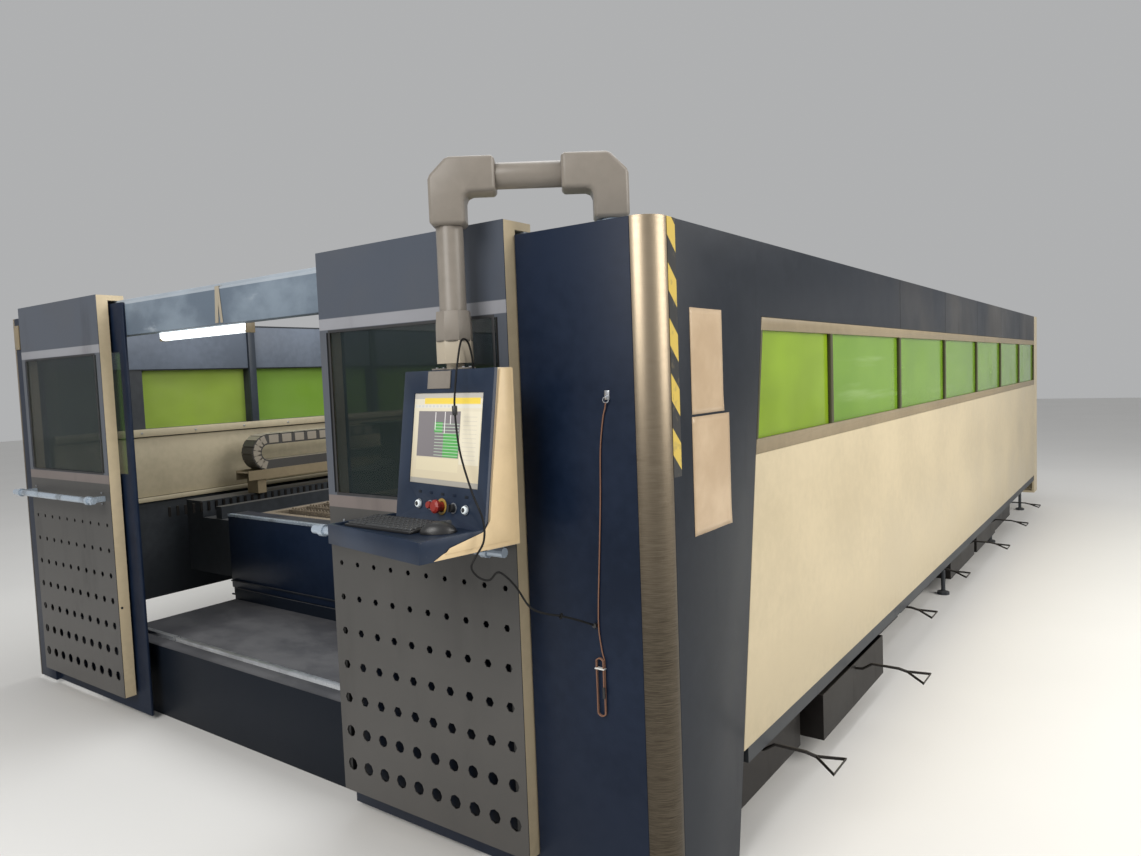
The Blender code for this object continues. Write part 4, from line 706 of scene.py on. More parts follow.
green_pane = sheet_of("green pane", (0.34, 0.53, 0.018), 0.35, 0.12, (0.46, 0.60, 0.12), 0.14)
# The panes of the left wall get a paler, patchy tint, which is a painted reflection, and the glare is a painted
# highlight.
on_left = 1.0 - green_pane.between(green_pane.x, -0.1, 0.1)
green_pane.tint(on_left * (green_pane.noise(1.9, 4.0, offset=6.0) * 0.7), (0.50, 0.60, 0.24))
glare = green_pane.between(green_pane.noise(0.9, 3.0, (1.0, 1.0, 0.35), 9.0), 0.52, 0.74)
green_pane.tint(glare * 0.28, (0.50, 0.72, 0.10))
CLAD_REAR = 7.87
PANE_COUNT = 7
FIRST_MULLION_Y = CLAD_REAR - MULLION_PITCH * (PANE_COUNT - 1)
# Past the first mullion the panes are painted darker as shade, and the pale streaks on them are painted
# reflections.
shaded = green_pane.between(green_pane.y, FIRST_MULLION_Y - 0.02, FIRST_MULLION_Y + 0.02)
green_pane.tint(shaded * 0.45, (0.10, 0.33, 0.040))
streaks = green_pane.between(green_pane.noise(2.6, 5.0, (1.0, 0.22, 3.4), 13.0), 0.58, 0.74)
green_pane.tint(streaks * shaded * 0.40, (0.50, 0.68, 0.30))
smoked_glass = sheet_of("smoked glass", (0.012, 0.022, 0.024), 0.0, 0.04, (0.12, 0.13, 0.12), 0.12, 0.52)
front_glass = sheet_of("front glass", (0.04, 0.09, 0.02), 0.0, 0.05, (0.22, 0.25, 0.12), 0.12, 0.50)
print("sheets:", green_pane.material.name, smoked_glass.material.name, front_glass.material.name)

# %% [markdown]
# The header beam is blue-grey and chalky. Its paint has faded in clouds, and where parts have rubbed it
# has gone nearly white. The sheets inside the walls have a like colour, in better shape.

# %% Weather the beam
beam_blue = Finish("beam paint")
chalk = beam_blue.noise(3.0, 7.0, (1.0, 1.0, 1.6))
scrape = beam_blue.between(beam_blue.noise(11.0, 6.0, (0.35, 1.0, 1.0), 8.0), 0.60, 0.72)
tone = beam_blue.mixed(beam_blue.between(chalk, 0.38, 0.68), (0.102, 0.136, 0.180), (0.195, 0.245, 0.30))
tone = beam_blue.mixed(scrape * 0.6, tone, (0.42, 0.47, 0.52))
top_edge = beam_blue.within(beam_blue.z, height - 0.010, height + 0.02)
tone = beam_blue.mixed(top_edge * 0.55, tone, (0.5, 0.55, 0.6))
beam_blue.colour(tone)
beam_blue.roughness(chalk * 0.25 + 0.40)
beam_blue.relief(beam_blue.noise(60.0, 4.0), 0.0004)
inner_blue = painted("inner sheet paint", (0.135, 0.162, 0.21), 0.5, 0.10, 0.3, 0.5)
print("beam paint ready")

# %% [markdown]
# Bare steel here is scuffed, not polished. The step has been walked on until its paint wore off in the
# middle, and the slats are spattered with slag from cutting.

# %% Wear the steel
steel = Finish("bare steel", metallic=0.85)
scratches = steel.noise(70.0, 4.0, (1.0, 1.0, 0.2))
smudge = steel.noise(6.0, 5.0, offset=6.0)
steel.colour(steel.mixed(steel.between(smudge, 0.4, 0.7), (0.48, 0.50, 0.53), (0.30, 0.31, 0.33)))
steel.roughness(steel.between(scratches, 0.35, 0.65) * 0.12 + smudge * 0.16 + 0.20)
steel.relief(scratches, 0.00008)

handle_steel = Finish("handle steel", metallic=0.35)
grime = handle_steel.between(handle_steel.noise(12.0, 5.0, (1.0, 1.0, 0.5)), 0.48, 0.72)
handle_steel.colour(handle_steel.mixed(grime, (0.40, 0.47, 0.55), (0.17, 0.19, 0.21)))
handle_steel.roughness(grime * 0.22 + 0.24)
handle_steel.relief(handle_steel.noise(220.0, 2.0), 0.0001)

step_steel = Finish("worn step", metallic=0.05, specular_ior_level=0.12)
tread = step_steel.noise(2.4, 8.0, (1.0, 1.6, 1.0), roughness=0.7)
grit = step_steel.between(step_steel.cells(160.0), 0.02, 0.30)
worn = step_steel.upward() * step_steel.between(tread, 0.36, 0.62)
tone = step_steel.mixed(step_steel.upward(), (0.007, 0.010, 0.016), (0.066, 0.067, 0.074))
tone = step_steel.mixed(worn * 0.6, tone, (0.125, 0.125, 0.13))
tone = step_steel.mixed((1.0 - grit) * 0.35 * step_steel.upward(), tone, (0.035, 0.032, 0.030))
step_steel.colour(tone)
step_steel.roughness(worn * 0.10 + tread * 0.2 + 0.36)
step_steel.relief(step_steel.noise(180.0, 3.0), 0.0003)

slat_steel = Finish("slag-spattered steel", metallic=0.35)
spatter = slat_steel.between(slat_steel.cells(95.0), 0.10, 0.34)
soot = slat_steel.noise(8.0, 6.0)
slat_top = mark("pallet", 1).z
burnt = slat_steel.between(slat_steel.z, slat_top - 0.050, slat_top)
tone = slat_steel.mixed(slat_steel.between(soot, 0.35, 0.65), (0.045, 0.042, 0.040), (0.12, 0.105, 0.09))
tone = slat_steel.mixed(burnt * 0.6, tone, (0.30, 0.24, 0.17))
tone = slat_steel.mixed((1.0 - spatter) * 0.8, tone, (0.52, 0.42, 0.28))
slat_steel.colour(tone)
slat_steel.roughness(spatter * 0.2 + soot * 0.3 + 0.35)
slat_steel.relief(1.0 - spatter, 0.0012)

rod_steel = painted("dark rod", (0.014, 0.012, 0.011), 0.45, 0.2, 0.4, 0.5, 0.00012, 0.35, 0.15)
print("steels ready")

# %% [markdown]
# The energy chain is dusty grey plastic. The moulded pieces of the console, the leads' jackets and the
# lamp's diffuser are plain plastics, so they only need a fine grain and a trace of handling.

# %% Mould the plastics
def moulded(name, colour, rough=0.45, grain=600.0, depth=0.00006, worn=0.12):
    """Moulded plastic: even colour, a fine spark-eroded grain and a few shinier rubbed places."""
    plastic = Finish(name)
    rub = plastic.between(plastic.noise(18.0, 4.0), 0.5, 0.75)
    plastic.colour(plastic.mixed(rub * worn, colour, tuple(value * 0.7 + 0.05 for value in colour)))
    plastic.roughness(rub * -0.12 + rough)
    plastic.relief(plastic.noise(grain, 2.0), depth)
    return plastic


chain_plastic = moulded("chain plastic", (0.060, 0.057, 0.054), 0.5, 200.0, 0.0002)
chain_top = moulded("chain dust", (0.30, 0.265, 0.215), 0.6, 200.0, 0.0002, 0.4)
black_plastic = moulded("black plastic", (0.020, 0.020, 0.021), 0.38)
white_plastic = moulded("white plastic", (0.70, 0.70, 0.67), 0.30)
red_plastic = moulded("red plastic", (0.30, 0.024, 0.016), 0.30)
yellow_plastic = moulded("yellow plastic", (0.36, 0.23, 0.045), 0.40)
black_jacket = moulded("black jacket", (0.006, 0.006, 0.006), 0.55, 900.0)
black_jacket.set(specular_ior_level=0.2)
brown_jacket = moulded("brown jacket", (0.20, 0.095, 0.055), 0.45, 900.0)
lamp_white = moulded("lamp diffuser", (0.66, 0.72, 0.72), 0.35)
print("plastics ready")

# %% [markdown]
# The console is navy in front and cream on its sides. The cream sheet wraps the side in an L: it runs
# down the back edge and forward along the tray. The finish works in the console's own directions, which
# are turned ten degrees, so a Mapping node first turns the place back.

# %% Paint the console
console_paint = Finish("console paint", specular_ior_level=0.30)
across, depth = console_paint.plane_of(console_place)
CONSOLE_LEFT = -0.250
CONSOLE_RIGHT = 0.220
HOUSING_LEFT = -0.222
HOUSING_RIGHT = 0.216
TRAY_TOP = 1.175
FACE_BASE = -0.090
FACE_TOP = -0.030
LEAN = math.atan2(FACE_TOP - FACE_BASE, HOUSING_TOP - TRAY_TOP)
face_line = (console_paint.z - TRAY_TOP) * math.tan(LEAN) + FACE_BASE
on_side = (
    console_paint.between(across, HOUSING_RIGHT - 0.004, HOUSING_RIGHT - 0.002)
    + (1.0 - console_paint.between(across, HOUSING_LEFT + 0.002, HOUSING_LEFT + 0.004))
)
behind_face = console_paint.between(depth - face_line, 0.010, 0.012)
clouds = console_paint.noise(5.0, 5.0)
chips = console_paint.between(console_paint.noise(60.0, 4.0), 0.66, 0.70)
near_edge = console_paint.between(abs(across - (CONSOLE_LEFT + CONSOLE_RIGHT) / 2), 0.222, 0.234)
near_edge = near_edge * (1.0 - console_paint.between(depth, -0.298, -0.280))
cloudy = console_paint.between(clouds, 0.35, 0.65)
cream_side = console_paint.maths("MINIMUM", on_side * behind_face, 1.0)
above_roof = console_paint.between(console_paint.z, HOUSING_TOP + 0.0008, HOUSING_TOP + 0.0012)
tone = console_paint.mixed(cloudy, (0.010, 0.019, 0.040), (0.019, 0.031, 0.058))
tone = console_paint.mixed(cream_side, tone, (0.60, 0.50, 0.35))
tone = console_paint.mixed(chips * near_edge, tone, (0.42, 0.40, 0.36))
tone = console_paint.mixed(above_roof, tone, (0.40, 0.35, 0.27))
console_paint.colour(tone)
console_paint.roughness(clouds * 0.16 + 0.26)
console_paint.relief(console_paint.noise(420.0, 2.0), 0.00008)
print("console paint ready")

# %% [markdown]
# Each piece of the frame takes its finish by name. Pieces whose shape is right stay as they are. The
# ones that are seen close get a merged copy with rounded edges, because no folded sheet has a knife edge.

# %% Dress the frame
def dress(piece, finish):
    """Put one finish on all of a piece."""
    piece.data.materials.clear()
    piece.data.materials.append(finish.material)


finish_of_node = {
    "wall_frame": frame_paint, "end_panel": slate_paint, "lower_panel": cream_paint,
    "window_frame": window_paint, "window_pane": green_pane, "corner_column": brushed,
    "front_panel": navy_paint, "front_pane": front_glass, "door_skin": door_grey,
    "door_frame": cream_paint, "door_window": smoked_glass, "door_handle": handle_steel,
    "header_beam": beam_blue, "work_light": lamp_white, "bed_frame": frame_paint,
    "front_step": step_steel, "bed_front_cover": navy_paint, "pallet": slat_steel,
    "gantry_beam": frame_paint, "head_carriage": inner_blue, "z_slide": window_paint,
    "cutting_head": steel, "energy_chain": chain_plastic, "chain_tray": window_paint,
    "rear_wall": cream_paint, "rear_elbow": arm_paint, "arm_tube": arm_paint, "front_elbow": arm_paint,
    "drop_tube": arm_paint, "console_housing": console_paint, "keyboard": black_plastic,
    "mouse": black_plastic, "start_button": white_plastic, "stop_button": red_plastic,
    "emergency_stop": red_plastic, "selector_switch": black_plastic, "reset_button": white_plastic,
    "screen": black_plastic, "console_lead": black_jacket, "panel_lead": brown_jacket,
    "lead_hank": brown_jacket, "scrap_drawer": rod_steel,
}


def finish_for(node):
    """The finish whose name the node's own name ends or begins with."""
    for name, finish in finish_of_node.items():
        if node.endswith(name) or node.startswith(name):
            return finish
    return frame_paint


for node, piece in nodes.items():
    dress(piece, finish_for(node))
for piece, finish in (
    (console_cable, black_jacket), (tail_cable, black_jacket), (hitch, black_jacket),
    (panel_cable, brown_jacket), (ferrite, black_plastic), (connector, black_plastic),
    (tie, white_plastic), (eye, steel), (eye_plate, steel), (eye_stud, steel),
):
    dress(piece, finish)


def placed(piece, finish, body):
    """Give a new piece its finish and its body in one go."""
    dress(piece, finish)
    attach(piece, body)
    return piece


def softened(node, width, segments=2):
    """A merged copy of a node with its sharp edges rounded, shown instead of the node."""
    source = nodes[node]
    piece = bpy.data.objects.new("soft_" + node, source.data.copy())
    bpy.context.scene.collection.objects.link(piece)
    deselect()
    piece.select_set(True)
    bpy.context.view_layer.objects.active = piece
    bpy.ops.object.mode_set(mode="EDIT")
    bpy.ops.mesh.select_all(action="SELECT")
    bpy.ops.mesh.remove_doubles(threshold=0.00002)
    bpy.ops.mesh.dissolve_limited(angle_limit=math.radians(0.6))
    bpy.ops.mesh.normals_make_consistent(inside=False)
    bpy.ops.object.mode_set(mode="OBJECT")
    chamfered(piece, width, segments)
    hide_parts(node)
    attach(piece, body_of_node[node])
    return piece


SOFT_EDGES = {
    "right_end_panel": (0.004, "navy_paint"), "left_end_panel": (0.004, "navy_paint"),
    "right_lower_panel": (0.003, "cream_paint"), "left_lower_panel": (0.003, "cream_paint"),
    "right_front_panel": (0.003, "navy_paint"), "left_front_panel": (0.003, "navy_paint"),
    "right_corner_column": (0.0006, "brushed"), "left_corner_column": (0.0006, "brushed"),
    "right_window_frame": (0.002, "window_grey"), "left_window_frame": (0.002, "window_grey"),
    "rear_elbow": (0.004, "arm_paint"), "front_elbow": (0.004, "arm_paint"),
    "arm_tube": (0.0006, "arm_paint"), "drop_tube": (0.0012, "arm_paint"),
    "front_step": (0.002, "slate_paint"), "bed_front_cover": (0.003, "navy_paint"),
    "console_housing": (0.0035, "console_paint"), "screen": (0.001, "screen"),
    "header_beam": (0.0025, "beam_blue"),
}
softened_pieces = {}
for node, (width, slot_name) in SOFT_EDGES.items():
    softened_pieces[node] = softened(node, width)
print(len(nodes), "nodes dressed,", len(softened_pieces), "of them with softened edges")

# %% [markdown]
# The console is modelled in its own directions, with u to its right, v to its back and z up, and only
# then set in its place under the arm. Things on its leaning face use the face's own plane in the same way.

# %% Place things on the console
face_place = (
    console_place @ Matrix.Translation((0.0, FACE_BASE, TRAY_TOP))
    @ Matrix.Rotation(math.radians(90.0) - LEAN, 4, "X")
)


def moved(piece, place):
    """Carry a finished mesh to its place."""
    piece.data.transform(place)
    return piece


def repeated(name, master, places):
    """Copies of one master, each with its own mesh, joined as one piece. The master is used up."""
    copies = []
    for place in places:
        copy = bpy.data.objects.new(name, master.data.copy())
        copy.data.transform(place)
        bpy.context.scene.collection.objects.link(copy)
        copies.append(copy)
    bpy.data.objects.remove(master)
    deselect()
    for copy in copies:
        copy.select_set(True)
    bpy.context.view_layer.objects.active = copies[0]
    if len(copies) > 1:
        bpy.ops.object.join()
    bpy.context.object.name = name
    return bpy.context.object


def ring(name, inner, outer, low, high, sides=32, chamfer=0.0006):
    """A flat ring about its own axis: a cylinder whose ends are inset and bridged."""
    deselect()
    bpy.ops.mesh.primitive_cylinder_add(
        vertices=sides, radius=outer, depth=high - low, location=(0, 0, (low + high) / 2),
    )
    piece = settled(name)
    bpy.ops.object.mode_set(mode="EDIT")
    pick(piece, lambda face: abs(face.normal.z) > 0.9)
    bpy.ops.mesh.inset(thickness=outer - inner, use_even_offset=False)
    bpy.ops.mesh.bridge_edge_loops()
    bpy.ops.object.mode_set(mode="OBJECT")
    if chamfer:
        chamfered(piece, chamfer)
    return piece


def plate(name, outline, axis_place, thickness, chamfer=0.0):
    """A plate with a given outline in its own plane, pushed out by its thickness."""
    deselect()
    bpy.ops.mesh.primitive_circle_add(vertices=len(outline), radius=1.0, fill_type="NGON")
    piece = settled(name)
    for vertex, spot in zip(piece.data.vertices, outline):
        vertex.co = (spot[0], spot[1], 0.0)
    bpy.ops.object.mode_set(mode="EDIT")
    bpy.ops.mesh.select_all(action="SELECT")
    bpy.ops.mesh.extrude_region_move(TRANSFORM_OT_translate={"value": (0.0, 0.0, thickness)})
    bpy.ops.mesh.select_all(action="SELECT")
    bpy.ops.mesh.normals_make_consistent(inside=False)
    bpy.ops.object.mode_set(mode="OBJECT")
    if chamfer:
        chamfered(piece, chamfer)
    return moved(piece, axis_place)


print("console face leans", round(math.degrees(LEAN), 1), "degrees")

# %% [markdown]
# The right side of the console has a cream cover. It is one sheet cut to an L, which runs to a point
# under the tray, with a second, smaller sheet on it, so its back and lower edges show a step.

# %% Cover the console's side
TRAY_BOTTOM = TRAY_TOP - 0.050
CONSOLE_BACK = 0.030
side_axes = console_place @ Matrix(((0, 0, 1, 0), (1, 0, 0, 0), (0, 1, 0, 0), (0, 0, 0, 1)))


def cover_outline(inset):
    """The cover's corners in v and z, drawn in from its back and lower edges."""
    low = TRAY_BOTTOM + 0.002 + inset
    back = CONSOLE_BACK - 0.001 - inset
    return (
        (-0.262 + inset * 2.6, low), (back, low), (back, HOUSING_TOP - 0.002),
        (FACE_TOP + 0.014, HOUSING_TOP - 0.002), (FACE_BASE + 0.016, TRAY_TOP + 0.030),
        (FACE_BASE - 0.004, TRAY_TOP + 0.004), (-0.232 + inset * 1.6, low + 0.014),
    )


spacer = slab(
    "console_side_spacer", (HOUSING_RIGHT + SEAT, FACE_TOP + 0.020, TRAY_TOP + 0.010),
    (CONSOLE_RIGHT + SEAT, CONSOLE_BACK - 0.004, HOUSING_TOP - 0.006), 0.0008,
)
moved(spacer, console_place)
cover = plate(
    "console_side_cover", cover_outline(0.0),
    side_axes @ Matrix.Translation((0, 0, CONSOLE_RIGHT + 2 * SEAT)), 0.002, 0.0006,
)
cover_step = plate(
    "console_side_step", cover_outline(0.013),
    side_axes @ Matrix.Translation((0, 0, CONSOLE_RIGHT + 0.002 + 3 * SEAT)), 0.0018, 0.0006,
)
cover_cream = painted("console cover paint", (0.64, 0.49, 0.29), 0.36, 0.05, 0.1, 0.3, 0.0001, 0.0)
for piece in (spacer, cover, cover_step):
    placed(piece, cover_cream, "console")
print("side cover of", len(cover_outline(0.0)), "corners, in two steps")

# %% [markdown]
# The display shows a pale drawing program: a yellow bar on top, a grey plot with green parts in it, and
# a grey line of status below. All of it is painted by place on the glass, so it stays crisp, and it
# glows a little as a lit display does. It has no words on it.

# %% Light the screen
SCREEN_U = 0.005
SCREEN_S = 0.247
SCREEN_WIDTH = 0.338
SCREEN_HEIGHT = 0.270
display = Finish("display", roughness=0.22, emission_strength=0.24)
face_u, face_s = display.plane_of(face_place)
column = (face_u - SCREEN_U) / SCREEN_WIDTH + 0.5
row = (face_s - SCREEN_S) / SCREEN_HEIGHT + 0.5


def block_of(left, right, low, high):
    """1 inside a rectangle of the display, given as shares of its width and height."""
    return display.within(column, left, right, 0.002) * display.within(row, low, high, 0.002)


def rules(value, pitch, share):
    """1 on thin lines that repeat at a pitch."""
    return 1.0 - display.between(abs(value % pitch - pitch / 2), share * pitch, share * pitch + 0.002)


picture = display.mixed(row, (0.60, 0.52, 0.36), (0.62, 0.58, 0.46))
for area, colour in (
    (block_of(0.00, 1.00, 0.935, 1.00), (0.42, 0.40, 0.36)),
    (block_of(0.16, 0.96, 0.880, 0.945), (0.70, 0.52, 0.07)),
    (block_of(0.02, 0.98, 0.835, 0.872), (0.62, 0.60, 0.52)),
    (block_of(0.08, 0.70, 0.300, 0.800), (0.175, 0.160, 0.168)),
    (block_of(0.71, 0.975, 0.240, 0.800), (0.66, 0.61, 0.48)),
    (block_of(0.08, 0.70, 0.150, 0.285), (0.64, 0.57, 0.40)),
    (block_of(0.00, 1.00, 0.000, 0.060), (0.34, 0.32, 0.28)),
):
    picture = display.mixed(area, picture, colour)
plot = block_of(0.08, 0.70, 0.30, 0.80)
green_parts = block_of(0.47, 0.69, 0.305, 0.56) + block_of(0.33, 0.45, 0.57, 0.68)
picture = display.mixed(display.maths("MINIMUM", green_parts, 1.0) * plot, picture, (0.085, 0.33, 0.085))
nested = rules(row, 0.034, 0.10) * block_of(0.34, 0.69, 0.31, 0.68)
picture = display.mixed(nested * 0.65, picture, (0.48, 0.60, 0.46))
for left, low, high in ((0.335, 0.60, 0.79), (0.475, 0.56, 0.795), (0.555, 0.66, 0.76)):
    picture = display.mixed(block_of(left, left + 0.010, low, high), picture, (0.72, 0.70, 0.68))
listed = rules(row, 0.045, 0.08) * block_of(0.74, 0.93, 0.26, 0.78)
picture = display.mixed(listed * 0.35, picture, (0.45, 0.42, 0.36))
icons = rules(column, 0.055, 0.28) * block_of(0.03, 0.66, 0.842, 0.866)
picture = display.mixed(icons * 0.45, picture, (0.40, 0.42, 0.46))
display.colour(picture)
display.feed(display.shader.inputs["Emission Color"], picture)
dress(softened_pieces["screen"], display)
print("display", SCREEN_WIDTH, "by", SCREEN_HEIGHT, "m")

# %% [markdown]
# Five controls stand in a row under the display. The emergency stop stands on a yellow disc, and each of
# the others has a steel bezel ring that holds it in the sheet. Two buttons are lit rings round a dark
# centre. Over each control sits a small blank tag.

# %% Ring the controls
CONTROL_S = 0.052
CONTROL_PITCH = 0.057
CONTROL_FIRST_U = -0.100
TAG_S = 0.088
CONTROLS = (
    ("start_button", 0.011), ("stop_button", 0.011), ("emergency_stop", 0.020), ("selector_switch", 0.012),
    ("reset_button", 0.011),
)
lit_ring = moulded("lit ring", (0.80, 0.84, 0.84), 0.3)
lit_ring.set(emission_color=(0.85, 0.95, 1.0, 1.0), emission_strength=0.25)
for number, (name, radius) in enumerate(CONTROLS):
    spot = face_place @ Matrix.Translation((CONTROL_FIRST_U + CONTROL_PITCH * number, CONTROL_S, 0.0))
    if name == "emergency_stop":
        collar = ring("stop_disc", radius * 0.78, radius + 0.004, SEAT, 0.0024, 40)
        placed(moved(collar, spot), yellow_plastic, "console")
    else:
        bezel = ring(name + "_bezel", radius + 0.0004, radius + 0.0034, SEAT, 0.0030, 40)
        placed(moved(bezel, spot), steel, "console")
    if name in ("start_button", "reset_button"):
        dress(nodes[name], lit_ring)
        unfaced = face_place.inverted()
        low = max((unfaced @ vertex.co).z for vertex in nodes[name].data.vertices) + SEAT
        centre = round_bar(name + "_centre", (0, 0, low), (0, 0, low + 0.0008), 0.0068, 24, 0.0003)
        placed(moved(centre, spot), black_plastic, name)
for number in range(len(CONTROLS)):
    spot = face_place @ Matrix.Translation((CONTROL_FIRST_U + CONTROL_PITCH * number, TAG_S, SEAT))
    tag = slab("control_tag_" + str(number + 1), (-0.008, -0.004, 0.0), (0.008, 0.004, 0.0006), 0.0002)
    placed(moved(tag, spot), navy_paint if number % 2 else slate_paint, "console")
print(len(CONTROLS), "controls ringed")

# %% [markdown]
# A keyboard is a thin wedge with keys that slope on their sides. One key is modelled, tapered and
# rounded, and then copied along the rows, with a wide one for the space bar.

# %% Fill in the keyboard
KEYBOARD_WIDTH = 0.285
KEYBOARD_DEPTH = 0.125
KEYBOARD_HEIGHT = 0.014
FRONT_DROP = 0.006
KEY_HEIGHT = 0.005
SIDE_MARGIN = 0.006
FRONT_MARGIN = 0.007
KEY_ROWS = 6
KEY_COLUMNS = 15
SPACE_COLUMNS = range(4, 10)
keyboard_place = (
    console_place @ Matrix.Translation((-0.080, -0.190, TRAY_TOP + SEAT))
    @ Matrix.Rotation(math.radians(8.0), 4, "Z")
)
case = slab(
    "keyboard_case", (-KEYBOARD_WIDTH / 2, -KEYBOARD_DEPTH / 2, 0.0),
    (KEYBOARD_WIDTH / 2, KEYBOARD_DEPTH / 2, KEYBOARD_HEIGHT),
)
bpy.ops.object.mode_set(mode="EDIT")
bpy.ops.mesh.select_mode(type="VERT")
shape = bmesh.from_edit_mesh(case.data)
for vertex in shape.verts:
    vertex.select_set(vertex.co.z > 0.001 and vertex.co.y < 0.0)
shape.select_flush_mode()
bmesh.update_edit_mesh(case.data)
bpy.ops.transform.translate(value=(0.0, 0.0, -FRONT_DROP))
bpy.ops.object.mode_set(mode="OBJECT")
chamfered(case, 0.002)
placed(moved(case, keyboard_place), black_plastic, "console")
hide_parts("keyboard")


def key_cap(name, width, depth):
    """One key, narrower on top than below."""
    key = slab(name, (-width / 2, -depth / 2, 0.0), (width / 2, depth / 2, KEY_HEIGHT))
    bpy.ops.object.mode_set(mode="EDIT")
    pick(key, lambda face: face.normal.z > 0.9)
    bpy.ops.transform.resize(value=(0.80, 0.78, 1.0), center_override=(0.0, 0.0, KEY_HEIGHT))
    bpy.ops.object.mode_set(mode="OBJECT")
    return chamfered(key, 0.0007)


row_pitch = (KEYBOARD_DEPTH - 2 * FRONT_MARGIN) / KEY_ROWS
column_pitch = (KEYBOARD_WIDTH - 2 * SIDE_MARGIN) / KEY_COLUMNS
key_slope = Matrix.Rotation(math.atan2(FRONT_DROP, KEYBOARD_DEPTH), 4, "X")


def key_spot(sideways, row_number):
    """The place of a key on the sloping case, from its row and how far it lies to the right."""
    forward = -KEYBOARD_DEPTH / 2 + FRONT_MARGIN + row_pitch * (row_number + 0.5)
    rise = KEYBOARD_HEIGHT - FRONT_DROP + FRONT_DROP * (forward / KEYBOARD_DEPTH + 0.5) + SEAT
    return keyboard_place @ Matrix.Translation((sideways, forward, rise)) @ key_slope


spots = []
for row_number in range(KEY_ROWS):
    for column_number in range(KEY_COLUMNS):
        if row_number > 0 or column_number not in SPACE_COLUMNS:
            sideways = -KEYBOARD_WIDTH / 2 + SIDE_MARGIN + column_pitch * (column_number + 0.5)
            spots.append(key_spot(sideways, row_number))
keys = repeated("keyboard_keys", key_cap("key", column_pitch * 0.90, row_pitch * 0.86), spots)
space_key = moved(
    key_cap("space_key", column_pitch * 5.8, row_pitch * 0.86), key_spot(-column_pitch * 0.5, 0),
)
key_plastic = moulded("key plastic", (0.045, 0.047, 0.050), 0.42)
placed(keys, key_plastic, "console")
placed(space_key, key_plastic, "console")
print(len(spots) + 1, "keys on the keyboard")

# %% [markdown]
# The mouse has a split line between its two buttons and a wheel in the split. Its shell is a merged copy
# of the frame's dome, with its edges rounded.

# %% Finish the mouse
mouse_place = (
    console_place @ Matrix.Translation((0.115, -0.170, TRAY_TOP + SEAT))
    @ Matrix.Rotation(math.radians(-38.0), 4, "Z")
)
shell = softened("mouse", 0.0006, 1)
wheel = round_bar("mouse_wheel", (-0.0035, 0.030, 0.0262), (0.0035, 0.030, 0.0262), 0.0075, 24, 0.001)
split = slab("mouse_seam", (-0.0006, 0.006, 0.026), (0.0006, 0.0365, 0.0332), 0.0002)
for piece in (wheel, split):
    placed(moved(piece, mouse_place), key_plastic, "console")
dress(shell, black_plastic)
print("mouse ready")

# %% [markdown]
# The coupling under the arm stands on a bolted saddle, which four screws hold. A lip of the same sheet
# lies on the face below its top edge. The two halves of the coupling meet in a dark seam.

# %% Bolt the coupling down
SADDLE_LEFT = -0.092
SADDLE_THICK = 0.005
LIP_S = 0.394
saddle = slab(
    "coupling_saddle", (SADDLE_LEFT, -0.022, HOUSING_TOP + SEAT),
    (0.062, 0.026, HOUSING_TOP + SADDLE_THICK), 0.001,
)
placed(moved(saddle, console_place), arm_paint, "console")
lip = slab("saddle_lip", (SADDLE_LEFT, 0.0, 0.0), (0.020, 0.052, 0.004), 0.001)
lip_place = face_place @ Matrix.Translation((0.0, LIP_S, SEAT))
placed(moved(lip, lip_place), arm_paint, "console")


def screw_head(name, radius=0.005, lift=0.003, sides=20):
    """A pan head with a round socket sunk in its top."""
    deselect()
    bpy.ops.mesh.primitive_cylinder_add(
        vertices=sides, radius=radius, depth=lift, location=(0, 0, lift / 2),
    )
    head = settled(name)
    bpy.ops.object.mode_set(mode="EDIT")
    pick(head, lambda face: face.normal.z > 0.9)
    bpy.ops.mesh.inset(thickness=radius * 0.25, depth=radius * 0.12)
    bpy.ops.mesh.inset(thickness=radius * 0.30, depth=0.0)
    bpy.ops.mesh.extrude_region_move(TRANSFORM_OT_translate={"value": (0.0, 0.0, -lift * 0.6)})
    bpy.ops.object.mode_set(mode="OBJECT")
    bpy.ops.object.shade_smooth_by_angle(angle=math.radians(40.0))
    return head


spots = [
    console_place @ Matrix.Translation((u, v, HOUSING_TOP + SADDLE_THICK + SEAT))
    for u in (-0.080, 0.050) for v in (-0.010, 0.014)
]
placed(repeated("saddle_screws", screw_head("screw", 0.0045), spots), steel, "console")
coupling_split = mark("console_housing", 1).z
seam_ring = ring("coupling_seam", 0.0480, 0.0540, -0.0010, 0.0006, 48, 0.0)
placed(
    moved(seam_ring, Matrix.Translation(drop_axis + Vector((0, 0, coupling_split - 0.0012)))),
    black_plastic, "console",
)
print("coupling seam at", round(coupling_split, 3), "m")

# %% [markdown]
# Behind the holes of a door skin there is only shade, so a thin black sheet inside each leaf stands in
# for it and the holes look black. The frame's own faces behind the skin are painted dark as shade
# too. A rubber gasket holds the glass.

# %% Line the door leaves
door_cream = painted("door frame paint", (0.58, 0.48, 0.32), 0.42, 0.06, 0.2, 0.4)
IN_SHADE = (0.010, 0.010, 0.010)
SIDES = ("right", "left")
# Faces that look out of the front lie behind the skin and are painted dark as shade.
door_cream.tint(door_cream.facing("Y", -1.0), IN_SHADE)
